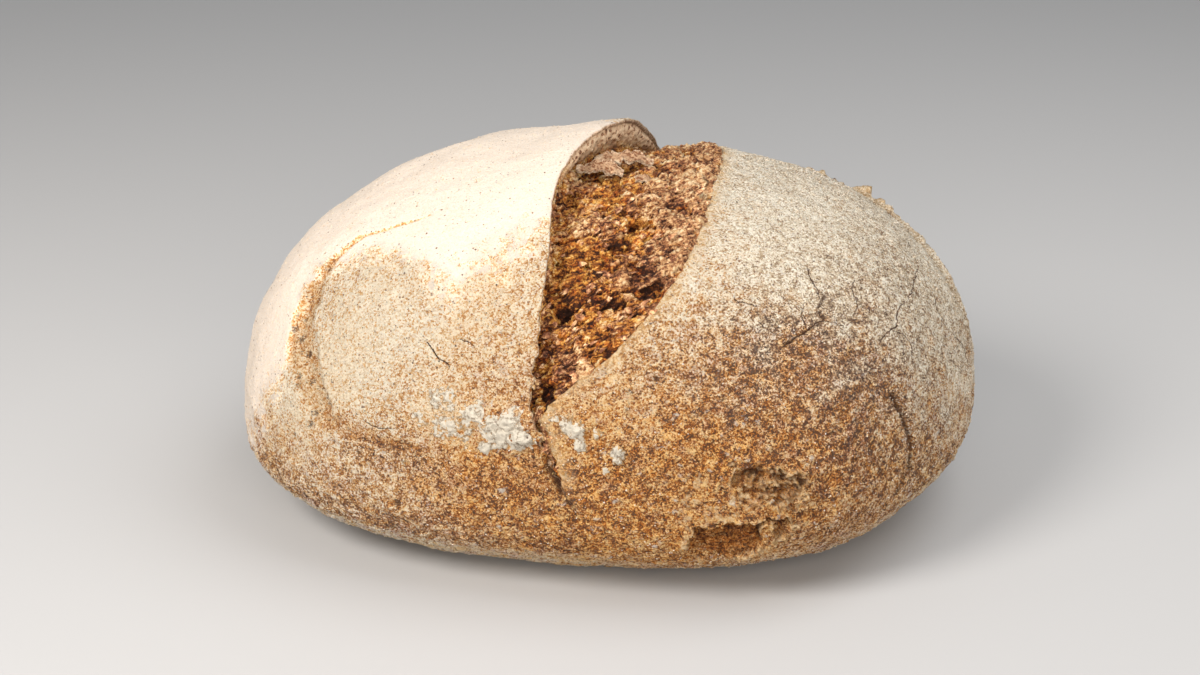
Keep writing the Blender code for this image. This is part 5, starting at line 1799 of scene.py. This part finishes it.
class LOAF_OT_skins(bpy.types.Operator):
    """Raises thin torn skins from the crumb, and sheets at the crest of the burst"""
    bl_idname = "loaf.skins"
    bl_label = "Torn skins"

    def execute(self, context):
        sizes = sizes_of(context)
        add_crumb_skins(sizes, skin_material(context.scene.loaf_colours))
        add_crest_sheets(sizes, sheet_material())
        return {"FINISHED"}


class LOAF_OT_patch(bpy.types.Operator):
    """Tears the patch of crust low on the front"""
    bl_idname = "loaf.patch"
    bl_label = "Torn patch"

    def execute(self, context):
        add_torn_patch(sizes_of(context), crust_material(context.scene.loaf_colours))
        return {"FINISHED"}


class LOAF_OT_flour(bpy.types.Operator):
    """Dries lumps of flour on to the front of the loaf"""
    bl_idname = "loaf.flour"
    bl_label = "Flour lumps"

    def execute(self, context):
        add_flour_lumps(sizes_of(context), flour_material())
        return {"FINISHED"}


class LOAF_OT_grains(bpy.types.Operator):
    """Scatters coarse grains of flour and flecks of bran over the crust"""
    bl_idname = "loaf.grains"
    bl_label = "Grains and bran"

    def execute(self, context):
        sizes, colours = sizes_of(context), context.scene.loaf_colours
        cream, white = tuple(colours.cream_flour), tuple(colours.white_flour)
        flour = grain_material("coarse flour", cream, white, 0.9)
        bran = grain_material("bran", tuple(colours.bran), BRAN_LIGHT, 0.6)
        add_grains(sizes, "flour_grains", FLOUR_GRAINS, FLOUR_RADIUS, 0.6, flour_density, flour, seed=111)
        add_grains(sizes, "bran_flecks", BRAN_FLECKS, BRAN_RADIUS, 0.25, bran_density, bran, seed=112)
        return {"FINISHED"}


def flour_density(masks):
    clear = (1 - masks["slashed"]) * (1 - masks["torn"])
    return (0.15 + masks["cover"]) * (1 - 0.75 * masks["white"]) * clear


def bran_density(masks):
    return (0.4 + masks["cover"]) * (1 - 0.6 * masks["white"])


class LOAF_OT_stage(bpy.types.Operator):
    """Sets the floor, the lights and the camera"""
    bl_idname = "loaf.stage"
    bl_label = "Stage"

    def execute(self, context):
        stage = context.scene.loaf_stage
        add_floor(stage)
        target = tuple(stage.target)
        add_light("key", KEY_PLACE, target, KEY_SIZE, stage.key_power, KEY_COLOUR)
        add_light("fill", FILL_PLACE, target, FILL_SIZE, stage.fill_power, FILL_COLOUR)
        add_light("top", TOP_PLACE, target, TOP_SIZE, stage.top_power, TOP_COLOUR)
        light_surround(stage.surround)
        add_camera(stage)
        context.scene.view_settings.view_transform = "Standard"
        return {"FINISHED"}


class LOAF_PT_panel(bpy.types.Panel):
    """The loaf's settings, and a button for each of its pieces"""
    bl_idname = "LOAF_PT_panel"
    bl_label = "Spelt loaf"
    bl_space_type = "VIEW_3D"
    bl_region_type = "UI"
    bl_category = "Loaf"

    def draw(self, context):
        for group in (context.scene.loaf_sizes, context.scene.loaf_colours, context.scene.loaf_stage):
            box = self.layout.box()
            for key in group.__annotations__:
                box.prop(group, key)
        for operator in OPERATORS:
            self.layout.operator(operator.bl_idname)


OPERATORS = (LOAF_OT_crust, LOAF_OT_patch, LOAF_OT_crumb, LOAF_OT_skins, LOAF_OT_flour, LOAF_OT_grains,
             LOAF_OT_stage)
GROUPS = {"loaf_sizes": LoafSizes, "loaf_colours": LoafColours, "loaf_stage": LoafStage}


def register():
    for key, group in GROUPS.items():
        bpy.utils.register_class(group)
        setattr(bpy.types.Scene, key, PointerProperty(type=group))
    for item in (*OPERATORS, LOAF_PT_panel):
        bpy.utils.register_class(item)


def unregister():
    for item in (LOAF_PT_panel, *reversed(OPERATORS)):
        bpy.utils.unregister_class(item)
    for key, group in GROUPS.items():
        delattr(bpy.types.Scene, key)
        bpy.utils.unregister_class(group)


def main():
    register()
    for operator in OPERATORS:
        getattr(bpy.ops.loaf, operator.bl_idname.split(".")[1])()


if __name__ == "__main__":
    main()
